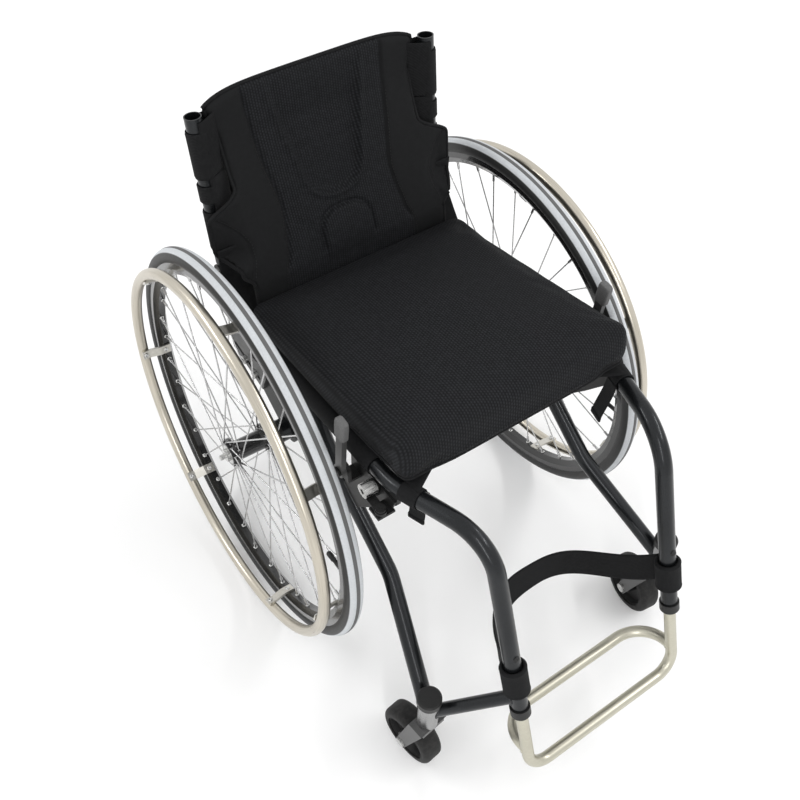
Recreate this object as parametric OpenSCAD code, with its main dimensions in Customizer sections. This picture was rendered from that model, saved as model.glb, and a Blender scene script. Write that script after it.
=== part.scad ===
// Manual wheelchair with a rigid open frame, cambered wheels and a folding backrest.
// The chair faces -Y and stands on z = 0. Routes are given from the rear axle, which lies at y = 0 there.

/* [Rear wheels] */
// Outer radius of the tyre
tyre_r = 295; // [280:1:310]
// Width of the tyre
tyre_w = 25; // [22:1:32]
// Lean of each wheel, top inwards, in degrees
camber = 2.7; // [1:0.1:4]
// Middle of the chair to the middle of a tyre, at axle height
half_track = 233; // [230:1:250]
// Height of a tyre above its bead seat
tyre_h = 25; // [22:1:28]
// Width of the rim
rim_w = 20; // [18:1:22]
// Depth of the rim, from its lip to its spoke bed
rim_h = 18; // [16:1:22]
// Wall of the rim
rim_wall = 2; // [1.6:0.1:3]
// Number of spokes in a wheel
spoke_n = 36; // [24:12:36]
// Diameter of a spoke
spoke_d = 2; // [1.8:0.1:2.4]
// Diameter of a spoke nipple
nipple_d = 4; // [3.6:0.1:5]
// Length of a spoke nipple below the spoke bed
nipple_l = 11; // [8:1:16]
// Diameter of the hub flanges
flange_d = 44; // [42:1:50]
// Tyre's middle plane to the outer hub flange
flange_out = 20; // [18:1:22]
// Tyre's middle plane to the inner hub flange
flange_in = 32; // [28:1:34]
// Diameter of the hub shell
hub_d = 29; // [28:1:32]
// Diameter of a hub bearing
bearing_d = 28; // [26:1:30]
// Width of a hub bearing
bearing_w = 8; // [6:0.5:9]
// Diameter of the quick-release axle
axle_d = 12.7; // [12:0.1:13]
// Diameter of the axle's button
button_d = 8; // [7:0.1:9]
// Travel of the axle's button
button_travel = 4; // [3:0.5:5]

/* [Hand rims] */
// Radius of the hand rim, to the middle of its tube
handrim_r = 269.6; // [266:0.2:272]
// Diameter of the hand rim's tube
handrim_d = 15.5; // [14:0.5:18]
// Tyre's middle plane to the hand rim's plane
handrim_off = 34.8; // [32:0.2:40]
// Tabs that hold a hand rim
tab_n = 7; // [5:1:7]
// Width of a tab
tab_w = 15; // [12:1:18]

/* [Frame] */
// Middle of the chair to a seat rail
half_w = 168; // [165:1:172]
// Diameter of the frame tubes
tube_d = 22; // [21:0.5:23]
// Wall of the frame tubes
tube_wall = 1.5; // [1.2:0.1:2]
// Wall of the hand rims, footrest and crossbar
thin_wall = 1.5; // [1.2:0.1:2]
// Rear end of the seat rail, behind the axle
rail_rear_y = 112; // [108:1:116]
// Height of the seat rail at its rear end
rail_rear_z = 436; // [430:1:440]
// Rise of the seat rail towards the front, in degrees
seat_pitch = 5.7; // [5:0.1:6.5]
// Length of the straight seat rail, to the corner where it turns in
rail_l = 384; // [370:1:395]
// Middle of the chair to a leg
leg_x = 128; // [124:1:132]
// Length of rail from the turn-in to the knee, along the chair
knee_l = 132; // [125:1:140]
// Slope of the legs, from upright, in degrees
leg_tilt = 19.9; // [17:0.1:23]
// Length of a leg, from the knee's corner to its collar
leg_l = 272; // [268:1:278]
// Bend radius at the knee, to the tube's middle
knee_r = 65; // [60:1:75]
// Bend radius of the turn-in and the lower tube
sweep_r = 100; // [80:1:120]
// Diameter of the caster arms
arm_d = 18; // [16:0.5:20]
// Middle of the caster arm above the end of the leg
arm_up = 19; // [17:1:21]
// Diameter of the axle tube
axle_tube_d = 34; // [32:1:38]
// Wall of the axle tube
axle_tube_wall = 3; // [2:0.5:4]
// Half the length of the axle tube
axle_tube_half = 178; // [174:1:180]

/* [Casters] */
// Radius of a caster wheel
caster_r = 46; // [42:1:50]
// Width of a caster wheel
caster_w = 32; // [28:1:34]
// Middle of the chair to a caster's stem
caster_x = 208; // [206:1:212]
// Axle to a caster's stem, forwards
caster_reach = 417; // [414:1:420]
// Stem to caster wheel, in trail
caster_trail = 26; // [22:1:30]
// Outward swing of the casters as they stand, in degrees
caster_swing = 7; // [0:1:12]
// Diameter of a caster housing
housing_d = 28; // [27:0.5:30]
// Height of the lower end of a caster housing
housing_z = 135; // [132:1:138]
// Length of a caster housing
housing_l = 62; // [58:1:66]
// Diameter of a caster's stem
stem_d = 12; // [10:0.5:12.5]
// Width of the fork at its crown
fork_w = 25; // [22:1:28]
// Width of the fork's legs at their lower ends
fork_tip_w = 17; // [15:1:20]
// Thickness of the fork
fork_t = 5; // [4:0.5:6]

/* [Footrest] */
// Diameter of the footrest's tubes
foot_d = 16; // [15:0.5:16.5]
// Knee's corner to the front bar, down the leg
foot_drop = 400; // [390:1:410]
// Knee's corner to the rear bar's weld, down the leg
foot_weld = 358; // [350:1:362]
// Front upright to the rear bar
foot_back = 58; // [50:1:64]
// Bend radius of the footrest's front corners
foot_bend = 30; // [26:1:34]
// Bend radius of the footrest's rear corners
foot_rear_bend = 46; // [40:1:50]
// Length of upright that slides inside a leg
foot_insert = 118; // [110:1:130]
// Height of the collar at the end of a leg
collar_h = 15; // [12:1:18]

/* [Backrest] */
// Hinge behind the axle
hinge_y = 125; // [123:1:127]
// Height of the hinge
hinge_z = 500; // [498:1:503]
// Lean of the backrest, in degrees
back_lean = 6.1; // [5:0.1:8]
// Length of a backrest tube above the hinge
back_l = 226; // [220:1:235]
// Depth of the open bore at the top of a backrest tube
back_bore = 150; // [120:1:160]
// Thickness of the padded cover at its middle
cover_t = 16; // [12:1:18]
// Half the width of the cover where it passes in front of the tubes
cover_half = 185; // [182:1:188]
// Height of the cover above the hinge
cover_top = 240; // [236:1:244]

/* [Seat] */
// Width of the cushion
cushion_w = 346; // [340:1:350]
// Depth of the cushion
cushion_l = 356; // [340:1:358]
// Thickness of the cushion at its rear edge
cushion_rear_t = 34; // [30:1:36]
// Thickness of the cushion at its front edge
cushion_front_t = 68; // [60:1:72]
// Rise of the crown above the cushion's edge
crown_h = 7; // [3:1:9]
// Thickness of the sling's cloth
sling_t = 2; // [1.5:0.1:3]
// Height of the calf strap
strap_h = 46; // [42:1:46]
// Thickness of the calf strap
strap_t = 3; // [2:0.5:4]
// Middle of the calf strap above the end of the leg
strap_up = 50; // [49:1:54]
// Bow of the calf strap behind the legs
strap_bow = 105; // [95:1:115]
// Sag of the calf strap at its middle
strap_sag = 55; // [40:1:60]

/* [Brakes] */
// Brake arm's pivot, in front of the axle
arm_pivot_y = 276; // [275:1:278]
// Pivot to the shoe, along the brake arm
arm_reach = 27; // [26:1:28]
// Diameter of the shoe
shoe_d = 19; // [17:0.5:20]
// Length of the shoe
shoe_l = 17; // [15:0.5:18]
// Lever's pivot, in front of the axle
lever_pivot_y = 205; // [202:1:207]
// Height of the lever's pivot
lever_pivot_z = 446; // [444:1:448]
// Length of the lever above its pivot
lever_l = 103; // [96:1:108]
// Thickness of the lever
lever_t = 7; // [6:0.5:8]

/* [Clearances] */
// Gap round a piece that turns or slides in its seat
run_fit = 0.05; // [0.03:0.01:0.1]
// Gap between pieces that are welded or pressed together
seat_fit = 0.05; // [0.02:0.01:0.1]
// Gap between faces that pass each other
side_gap = 0.4; // [0.3:0.05:0.6]

/* [Hidden] */
$fn = 48;
// Overlap of a straight run into its bend, and how much thinner a tube is drawn there
bend_lap = 0.5;
bend_thin = 0.05;
tube_r = tube_d / 2;
axle_z = (tyre_r - tyre_w / 2) * cos(camber) + tyre_w / 2;
seat_r = tyre_r - tyre_h;
lip_r = seat_r + 6;
bed_r = lip_r - rim_h;

// Corners of the side tube, on the left side
rail_rear = [half_w, rail_rear_y, rail_rear_z];
turn_in = rail_rear + rail_l * [0, -cos(seat_pitch), sin(seat_pitch)];
knee = [leg_x, turn_in[1] - knee_l, turn_in[2] + knee_l * tan(seat_pitch)];
leg_dir = [0, -sin(leg_tilt), -cos(leg_tilt)];
leg_back = [0, cos(leg_tilt), -sin(leg_tilt)];
function on_leg(d) = knee + d * leg_dir;
function rail_z(y) = rail_rear_z + (rail_rear_y - y) * tan(seat_pitch);

// The part's origin is under the middle of its length
foot_front = -on_leg(foot_drop)[1] + foot_d / 2;
axle_y = (foot_front - tyre_r) / 2;

// Where the tubes meet
caster_top = [caster_x, -caster_reach, housing_z + housing_l];
housing_mid = [caster_x, -caster_reach, housing_z + 0.45 * housing_l];
lower_bend = [half_w, -270, 266];
lower_rise = [half_w, -150, 352];
lower_top = [half_w, -66, rail_z(-66)];

// Hub faces along the wheel's axis
hub_out = flange_out + 7;
hub_in = -flange_in - 9;
flange_t = 4;
bearing_gap = 0.02;
axle_head_t = 4.5;
axle_end = -100;

// Camber plug and the axle tube's height, so that the slanted bore is centred in the plug
plug_in = 110;
plug_flange = 9;
plug_mid = (plug_in + axle_tube_half + plug_flange) / 2;
axle_tube_z = axle_z - (half_track - plug_mid) * tan(camber);

// Placing: shapes are drawn for the left side, from the axle, and put into the part's frame here
module placed() translate([0, axle_y, 0]) children();
module left() placed() children();
module right() placed() mirror([1, 0, 0]) children();
module both() {
  left() children();
  right() children();
}

// Frame of a left wheel: local z runs outwards along the axle, from the tyre's middle plane
module on_wheel() translate([half_track, 0, axle_z]) rotate([0, 90 - camber, 0]) children();

// Frame of the seat: y runs back along the rails from their rear ends, z is square to the seat
module on_seat() translate([0, rail_rear_y, rail_rear_z]) rotate([-seat_pitch, 0, 0]) children();

// Frame of the backrest: z runs up the tubes from the hinge, -y is the front
module on_back() translate([0, hinge_y, hinge_z]) rotate([-back_lean, 0, 0]) children();

// Frame of a left leg: z runs down the leg from the knee's corner, y is the rear
module on_leg_frame(d) translate(on_leg(d)) rotate([180 - leg_tilt, 0, 0]) mirror([0, 1, 0]) children();

// Round bar from p to q
module rod(p, q, r) {
  d = q - p;
  translate(p) rotate([0, acos(d[2] / norm(d)), atan2(d[1], d[0])]) cylinder(r = r, h = norm(d));
}

function unit(v) = v / norm(v);
function flip(p) = [-p[0], p[1], p[2]];
function turn(u, v) = acos(max(-1, min(1, u * v)));

// Ring section, for straight tubes
module section(r, inner) difference() {
  circle(r);
  circle(inner);
}

// Round bar along a route of corners, each rounded to its own bend radius and drawn a little thinner there
module bent_bar(route, bends, r) {
  n = len(route);
  dirs = [for (i = [0:n - 2]) unit(route[i + 1] - route[i])];
  cut = [for (i = [0:n - 1]) i == 0 || i == n - 1 ? 0 : bends[i - 1] * tan(turn(dirs[i - 1], dirs[i]) / 2)];
  lap = [for (i = [0:n - 1]) i == 0 || i == n - 1 ? 0 : bend_lap];
  for (i = [0:n - 2]) rod(
    route[i] + (cut[i] - lap[i]) * dirs[i], route[i + 1] - (cut[i + 1] - lap[i + 1]) * dirs[i], r
  );
  for (i = [1:1:n - 2]) {
    u = dirs[i - 1];
    v = dirs[i];
    across = unit(v - (u * v) * u);
    centre = route[i] - cut[i] * u + bends[i - 1] * across;
    up = cross(-across, u);
    multmatrix([
      [-across[0], u[0], up[0], centre[0]],
      [-across[1], u[1], up[1], centre[1]],
      [-across[2], u[2], up[2], centre[2]],
      [0, 0, 0, 1]
    ]) rotate_extrude(angle = turn(u, v)) translate([bends[i - 1], 0]) circle(r - bend_thin);
  }
}

// Tube along the same kind of route
module bent_tube(route, bends, r, wall) difference() {
  bent_bar(route, bends, r);
  bent_bar(route, bends, r - wall);
}

// Plate in the plane of the side frame, from x0 outwards, drawn as (y, z)
module side_plate(x0, t) translate([x0, 0, 0]) rotate([90, 0, 90]) linear_extrude(t) children();

// Closed skin over rings of equal point counts, capped at both ends
module skin(rings) {
  n = len(rings[0]);
  last = (len(rings) - 1) * n;
  polyhedron(
    points = [for (ring = rings) each ring],
    faces = [
      for (k = [0:len(rings) - 2], i = [0:n - 1]) each
        let (a = k * n + i, b = k * n + (i + 1) % n) [[a, a + n, b], [b, a + n, b + n]],
      for (i = [1:n - 2]) [0, i, i + 1],
      for (i = [1:n - 2]) [last, last + i + 1, last + i]
    ]
  );
}

// Side frame

side_route = [rail_rear, turn_in, knee, on_leg(leg_l)];
side_bends = [sweep_r, knee_r];
lower_route = [housing_mid, lower_bend, lower_rise, lower_top];
lower_bends = [sweep_r, sweep_r];
module rail_rod(r) rod(rail_rear, turn_in, r);
module housing_rod(r) rod(caster_top - [0, 0, housing_l + 5], caster_top, r);

module side_tube() color("#3d4147") bent_tube(side_route, side_bends, tube_r, tube_wall);

module lower_tube() color("#3d4147") difference() {
  bent_tube(lower_route, lower_bends, tube_r, tube_wall);
  housing_rod(housing_d / 2 + seat_fit);
  rail_rod(tube_r + seat_fit);
}

arm_drop = leg_l - arm_up;
module caster_arm() color("#3d4147") difference() {
  rod(on_leg(arm_drop), housing_mid, arm_d / 2);
  rod(on_leg(arm_drop - 60), on_leg(leg_l), tube_r + seat_fit);
  housing_rod(housing_d / 2 + seat_fit);
}

stem_bearing_d = housing_d - 5;
stem_bearing_w = 9;
module caster_housing() color("#7b8086") translate([caster_x, -caster_reach, housing_z]) rotate_extrude()
  polygon([
    [stem_bearing_d / 2, 0], [housing_d / 2, 0], [housing_d / 2, housing_l], [stem_bearing_d / 2, housing_l],
    [stem_bearing_d / 2, housing_l - stem_bearing_w], [stem_bearing_d / 2 - 2, housing_l - stem_bearing_w],
    [stem_bearing_d / 2 - 2, stem_bearing_w], [stem_bearing_d / 2, stem_bearing_w]
  ]);

cap_d = housing_d + 5;
cap_h = 12;
module caster_cap() color("#222222") translate(caster_top + [0, 0, seat_fit]) rotate_extrude()
  polygon([
    [0, cap_h - 3], [stem_d / 2 + 3, cap_h - 3], [stem_d / 2 + 3, 0], [cap_d / 2, 0], [cap_d / 2, cap_h - 2],
    [cap_d / 2 - 2, cap_h], [0, cap_h]
  ]);

module caster_bearing_pair() color("silver") translate([caster_x, -caster_reach, housing_z])
  for (z = [0, housing_l - stem_bearing_w + seat_fit])
    translate([0, 0, z]) linear_extrude(stem_bearing_w - seat_fit)
      section(stem_bearing_d / 2 - bearing_gap, stem_d / 2 + run_fit);

// Black plate that braces the lower tube to the seat rail and carries the brake
gusset_t = 6;
gusset_x = half_w - gusset_t / 2;
module gusset_plate() color("#232427") difference() {
  side_plate(gusset_x, gusset_t) polygon([
    [-186, 318], [-160, 342], [-186, 400], [-200, rail_z(-200)], [-288, rail_z(-288)], [-285, 447], [-246, 395],
    [-206, 346]
  ]);
  bent_bar(lower_route, lower_bends, tube_r + seat_fit);
  bent_bar(side_route, side_bends, tube_r + seat_fit);
}

// Plate under the rear of the seat rail, slotted so that the axle can be moved
axle_plate_t = 6;
axle_plate_x = half_w - axle_plate_t / 2;
slot_r = 4.2;
slot_front = [62, 344];
slot_rear = [126, 358];
module slot_hole() {
  along = slot_rear - slot_front;
  translate(slot_front) rotate(atan2(along[1], along[0])) {
    translate([0, -slot_r]) square([norm(along), 2 * slot_r]);
    circle(slot_r);
    translate([norm(along), 0]) circle(slot_r);
  }
}
module axle_plate() color("#5b6067") difference() {
  side_plate(axle_plate_x, axle_plate_t) difference() {
    polygon([[22, rail_z(22)], [40, 360], [54, 326], [136, 344], [144, 366], [104, 398], [96, rail_z(96)]]);
    slot_hole();
    translate([68, 390]) circle(14);
  }
  rail_rod(tube_r + seat_fit);
}

clamp_w = 15;
clamp_x = axle_plate_x - seat_fit - clamp_w;
clamp_bolts = [for (k = [0.12, 0.55]) slot_front + k * (slot_rear - slot_front)];
module axle_clamp() color("#1f2022") difference() {
  side_plate(clamp_x, clamp_w) difference() {
    union() {
      translate([0, axle_tube_z]) circle(axle_tube_d / 2 + 7);
      polygon([[-20, axle_tube_z + 12], [18, axle_tube_z - 14], [112, 344], [104, 366], [50, 356]]);
    }
    translate([0, axle_tube_z]) circle(axle_tube_d / 2 + seat_fit);
    for (p = clamp_bolts) translate(p) circle(slot_r - 0.2);
  }
}

bolt_r = 3.9;
module bolt(p, x0, x1, head_r, head_t) {
  translate([x0, p[0], p[1]]) rotate([0, 90, 0]) cylinder(r = bolt_r, h = x1 - x0);
  translate([x1, p[0], p[1]]) rotate([0, 90, 0]) difference() {
    cylinder(r = head_r, h = head_t);
    translate([0, 0, head_t - 3]) cylinder(r = 3, h = 4, $fn = 6);
  }
}
module side_bolts() color("#3a3c40") {
  for (p = clamp_bolts) bolt(p, clamp_x + 1, axle_plate_x + axle_plate_t + seat_fit, 6.5, 5);
  hinge_pin();
}

module axle_tube() color("#3d4147") placed() translate([-axle_tube_half, 0, axle_tube_z]) rotate([0, 90, 0])
  linear_extrude(2 * axle_tube_half) section(axle_tube_d / 2, axle_tube_d / 2 - axle_tube_wall);

module camber_plug() color("#26272a") difference() {
  translate([0, 0, axle_tube_z]) rotate([0, 90, 0]) {
    translate([0, 0, plug_in]) cylinder(r = axle_tube_d / 2 - axle_tube_wall - bearing_gap,
      h = axle_tube_half - plug_in + 1);
    translate([0, 0, axle_tube_half + seat_fit]) cylinder(r = axle_tube_d / 2, h = plug_flange);
  }
  on_wheel() translate([0, 0, -200]) cylinder(r = axle_d / 2 + run_fit, h = 240);
}

// Quick-release axle with its blind bore for the button
axle_head_z = hub_out + side_gap;
button_bore = axle_head_z - 14;
module axle_pin() color("#b8bbc0") on_wheel() difference() {
  union() {
    translate([0, 0, axle_end]) cylinder(r = axle_d / 2, h = axle_head_z - axle_end + 1);
    translate([0, 0, axle_head_z]) cylinder(r = axle_d / 2 + 3, h = axle_head_t);
  }
  translate([0, 0, button_bore]) cylinder(r = button_d / 2 + run_fit, h = 40);
}
module axle_button() color("#d0d2d4") on_wheel() translate([0, 0, button_bore + button_travel + 0.5])
  rotate_extrude() polygon([
    [0, 0], [button_d / 2, 0], [button_d / 2, axle_head_z + axle_head_t + button_travel - button_bore - 1],
    [button_d / 2 - 1, axle_head_z + axle_head_t + button_travel - button_bore],
    [0, axle_head_z + axle_head_t + button_travel - button_bore]
  ]);

// Rear wheel

bead_half = rim_w / 2 - rim_wall;
module tyre() color("#3a3a3c") on_wheel() rotate_extrude($fn = 120) {
  intersection() {
    translate([tyre_r - tyre_w / 2, 0]) circle(tyre_w / 2);
    translate([lip_r + seat_fit, -tyre_w]) square([tyre_h, 2 * tyre_w]);
  }
  translate([seat_r + seat_fit, seat_fit - bead_half]) square([lip_r - seat_r, 2 * (bead_half - seat_fit)]);
}

module rim() color("#26272a") on_wheel() rotate_extrude($fn = 120) polygon([
  [lip_r, -rim_w / 2], [lip_r, -bead_half], [seat_r, -bead_half], [seat_r, 2 - bead_half], [bed_r + 4, -3],
  [bed_r + 4, 3], [seat_r, bead_half - 2], [seat_r, bead_half], [lip_r, bead_half], [lip_r, rim_w / 2],
  [seat_r - 3, rim_w / 2], [bed_r, 5], [bed_r, -5], [seat_r - 3, -rim_w / 2]
]);

// Spokes lean forwards and backwards in turn, on both flanges, and cross on their way to the rim
hole_r = flange_d / 2 - 3;
spoke_swing = 60;
elbow_r = spoke_d / 2 + 0.1;
spoke_rise = 1.1;
module spoke(k, flange_w, side) {
  lean = k % 2 == 0 ? 1 : -1;
  hub_a = 720 / spoke_n * k + (flange_w > 0 ? 0 : 360 / spoke_n);
  rim_a = hub_a + lean * spoke_swing;
  lift = side * (flange_t / 2 + spoke_d / 2 + spoke_rise);
  root = [hole_r * cos(hub_a), hole_r * sin(hub_a), flange_w + lift];
  tip = [bed_r * cos(rim_a), bed_r * sin(rim_a), flange_w > 0 ? 1.5 : -1.5];
  back = unit(root - tip);
  rod(root, tip + 2 * back, spoke_d / 2);
  rod(tip + nipple_l * back, tip - 1 * back, nipple_d / 2);
  translate([root[0], root[1], flange_w - side * (flange_t / 2 + 1)]) rotate([side > 0 ? 0 : 180, 0, 0])
    cylinder(r = elbow_r, h = flange_t + 1 + abs(lift));
  translate([root[0], root[1], flange_w - side * (flange_t / 2 + 1)]) rotate([side > 0 ? 0 : 180, 0, 0])
    cylinder(r = spoke_d, h = 1 - seat_fit);
}
module spokes() color("#c4c6c8") on_wheel() for (k = [0:spoke_n / 2 - 1]) {
  spoke(k, flange_out, k % 2 == 0 ? 1 : -1);
  spoke(k, -flange_in, k % 2 == 0 ? 1 : -1);
}

module hub() color("#1c1d1f") on_wheel() difference() {
  rotate_extrude() polygon([
    [bearing_d / 2, hub_out], [bearing_d / 2 + 3, hub_out], [bearing_d / 2 + 3, flange_out + flange_t / 2],
    [flange_d / 2, flange_out + flange_t / 2], [flange_d / 2, flange_out - flange_t / 2],
    [hub_d / 2 + 2, flange_out - flange_t / 2], [hub_d / 2, flange_out - 9], [hub_d / 2, 9 - flange_in],
    [hub_d / 2 + 2, flange_t / 2 - flange_in], [flange_d / 2, flange_t / 2 - flange_in],
    [flange_d / 2, -flange_t / 2 - flange_in], [bearing_d / 2 + 3, -flange_t / 2 - flange_in],
    [bearing_d / 2 + 3, hub_in], [bearing_d / 2, hub_in], [bearing_d / 2, hub_in + bearing_w],
    [bearing_d / 2 - 4, hub_in + bearing_w], [bearing_d / 2 - 4, hub_out - bearing_w],
    [bearing_d / 2, hub_out - bearing_w]
  ]);
  for (k = [0:spoke_n / 2 - 1]) {
    rotate(720 / spoke_n * k) translate([hole_r, 0, flange_out - flange_t])
      cylinder(r = elbow_r + seat_fit, h = 2 * flange_t);
    rotate(720 / spoke_n * (k + 0.5)) translate([hole_r, 0, -flange_in - flange_t])
      cylinder(r = elbow_r + seat_fit, h = 2 * flange_t);
  }
}

module hub_bearings() color("silver") on_wheel() for (z = [hub_in, hub_out - bearing_w + seat_fit])
  translate([0, 0, z]) linear_extrude(bearing_w - seat_fit)
    section(bearing_d / 2 - bearing_gap, axle_d / 2 + run_fit);

module handrim() color("#bdb8a5") on_wheel() translate([0, 0, handrim_off]) rotate_extrude($fn = 120)
  translate([handrim_r, 0]) section(handrim_d / 2, handrim_d / 2 - thin_wall);

// Bent tab from the spoke bed out to the hand rim, curved with both
tab_top = handrim_r - handrim_d / 2 - seat_fit;
tab_t = 3;
module handrim_tabs() color("#b9b4a2") on_wheel() for (k = [0:tab_n - 1]) {
  swing = tab_w / bed_r * 180 / PI;
  rotate((3.5 + 5 * k) * 360 / spoke_n - swing / 2)
    rotate_extrude(angle = swing) polygon([
      [bed_r - tab_t, -4], [bed_r - tab_t, 12], [tab_top - tab_t, handrim_off - 6],
      [tab_top - tab_t, handrim_off + 5], [tab_top, handrim_off + 5], [tab_top, handrim_off - 7],
      [bed_r - seat_fit, 11], [bed_r - seat_fit, -4]
    ]);
}

// Casters

fork_gap = caster_w / 2 + 1.5;
crown_z = housing_z - side_gap;
crown_t = 8;
tip_z = caster_r - 11;
wheel_at = [caster_x, -caster_reach + caster_trail, caster_r];
caster_axle_r = 4;
// Turns a left caster about its stem to the angle at which it stands
module swung() translate([caster_x, -caster_reach, 0]) rotate(-caster_swing)
  translate([-caster_x, caster_reach, 0]) children();
module caster_fork() color("#55585c") swung() difference() {
  union() {
    for (s = [-1, 1]) translate([caster_x + s * (fork_gap + fork_t / 2), -caster_reach, 0])
      side_plate(-fork_t / 2, fork_t) polygon([
        [-fork_w / 2, crown_z], [fork_w / 2, crown_z], [caster_trail + 2 + fork_tip_w / 2, tip_z + 2],
        [caster_trail + 2 - fork_tip_w / 2, tip_z]
      ]);
    translate([caster_x - fork_gap - 1, -caster_reach - fork_w / 2, crown_z - crown_t])
      cube([2 * fork_gap + 2, fork_w, crown_t]);
    translate([caster_x, -caster_reach, crown_z - 1]) cylinder(r = stem_d / 2, h = housing_l + 6);
  }
  translate(wheel_at - [40, 0, 0]) rotate([0, 90, 0]) cylinder(r = caster_axle_r + seat_fit, h = 80);
}

core_r = caster_r - 12;
core_web = 9;
module caster_core() color("#151617") swung() translate(wheel_at) rotate([0, 90, 0]) rotate_extrude() polygon([
  [caster_axle_r + run_fit, -fork_gap + side_gap], [11, -fork_gap + side_gap], [13, -core_web / 2],
  [core_r - 4, -core_web / 2], [core_r - 2, -caster_w / 2 + 3], [core_r, -caster_w / 2 + 3],
  [core_r, caster_w / 2 - 3], [core_r - 2, caster_w / 2 - 3], [core_r - 4, core_web / 2], [13, core_web / 2],
  [11, fork_gap - side_gap], [caster_axle_r + run_fit, fork_gap - side_gap]
]);

shoulder = 8;
module caster_tyre() color("#4a4c4f") swung() translate(wheel_at) rotate([0, 90, 0]) rotate_extrude($fn = 96)
  difference() {
    union() {
      translate([core_r + seat_fit, -caster_w / 2]) square([caster_r - shoulder - core_r, caster_w]);
      translate([core_r + seat_fit, shoulder - caster_w / 2])
        square([caster_r - core_r - seat_fit, caster_w - 2 * shoulder]);
      for (s = [-1, 1]) translate([caster_r - shoulder, s * (caster_w / 2 - shoulder)]) circle(shoulder);
    }
    translate([0, -caster_w]) square([core_r + seat_fit, 2 * caster_w]);
  }

module caster_axle() color("#8d9095") swung() translate(wheel_at) rotate([0, 90, 0]) {
  half = fork_gap + fork_t + seat_fit;
  translate([0, 0, -half]) cylinder(r = caster_axle_r, h = 2 * half);
  translate([0, 0, half]) cylinder(r = 7, h = 3);
  translate([0, 0, -half - 3]) cylinder(r = 7, h = 3);
}

// Seat

sling_in = tube_r + 0.3;
sling_out = sling_in + sling_t;
sling_rear = 64;
sling_front = 352;
// Slots under the rails, as distances from the rail's rear end and half widths: axle plate, lower tube, gusset
sling_slots = [[sling_rear - 1, 98, 4], [163, 213, 14], [288, sling_front + 1, 4]];
module seat_sling() color("#1b1b1d") placed() on_seat() difference() {
  translate([0, -sling_rear, 0]) rotate([90, 0, 0]) linear_extrude(sling_front - sling_rear) {
    translate([-half_w, sling_in]) square([2 * half_w, sling_t]);
    for (s = [-1, 1]) translate([s * half_w, 0]) {
      intersection() {
        section(sling_out, sling_in);
        translate([s > 0 ? 0 : -50, -50]) square([50, 100]);
      }
      translate([s > 0 ? -30 : 0, -sling_out]) square([30, sling_t]);
    }
  }
  for (s = [-1, 1], k = sling_slots) translate([s * half_w - k[2], -k[1], -sling_out - 1])
    cube([2 * k[2], k[1] - k[0], sling_out + 1]);
}

// Rounded rectangle drawn in by d on every side, as points at the heights that lift gives
function outline(w, l, corner, d, per) = [
  for (q = [0:3], i = [0:per - 1])
    let (
      a = 90 * q + 90 * i / (per - 1),
      c = max(corner - d, 4),
      sx = q == 0 || q == 3 ? 1 : -1,
      sy = q < 2 ? 1 : -1
    )
    [sx * (w / 2 - d - c) + c * cos(a), sy * (l / 2 - d - c) + c * sin(a)]
];
cushion_rear = 54;
// The rear edge bulges back between its corners
rear_bulge = 5;
function bulged(p) = [p[0], p[1] + (p[1] > 0 ? rear_bulge * (1 - pow(2 * p[0] / cushion_w, 2)) : 0)];
cushion_base = sling_out + side_gap;
function cushion_t(y) = cushion_rear_t + (cushion_front_t - cushion_rear_t) * (0.5 - y / cushion_l);
// Each ring of the cushion: how far it is drawn in, its share of the height, and its rise above that
cushion_rings = [
  [20, 0, 0], [14, 0, 1.5], [6, 0.16, 0], [1, 0.36, 0], [0, 0.6, 0], [2, 0.82, 0], [7, 0.94, 0],
  [16, 1, 0], [40, 1, 0.5 * crown_h], [75, 1, 0.8 * crown_h], [120, 1, crown_h], [160, 1, 1.05 * crown_h]
];
module seat_cushion() color("#202022") placed() on_seat()
  translate([0, -cushion_rear - cushion_l / 2, cushion_base]) skin([
    for (k = cushion_rings)
      [for (p = outline(cushion_w, cushion_l, 34, k[0], 10)) let (b = bulged(p))
        [b[0], b[1], k[1] * cushion_t(p[1]) + k[2]]]
  ]);

// Strap round each rail in front of the sling, with its loose end hanging below
strap_at = turn_in + 17 * unit(knee - turn_in);
strap_len = 26;
module seat_strap() color("#161617") difference() {
  union() {
    d = unit(knee - turn_in);
    translate(strap_at) rotate([0, acos(d[2]), atan2(d[1], d[0])]) linear_extrude(strap_len) circle(sling_out);
    side_plate(half_w - 16, 5) polygon([
      [strap_at[1] - 20, strap_at[2]], [strap_at[1] - 4, strap_at[2]], [strap_at[1] + 10, strap_at[2] - 66],
      [strap_at[1] - 7, strap_at[2] - 74]
    ]);
  }
  bent_bar(side_route, side_bends, sling_in);
}

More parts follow.
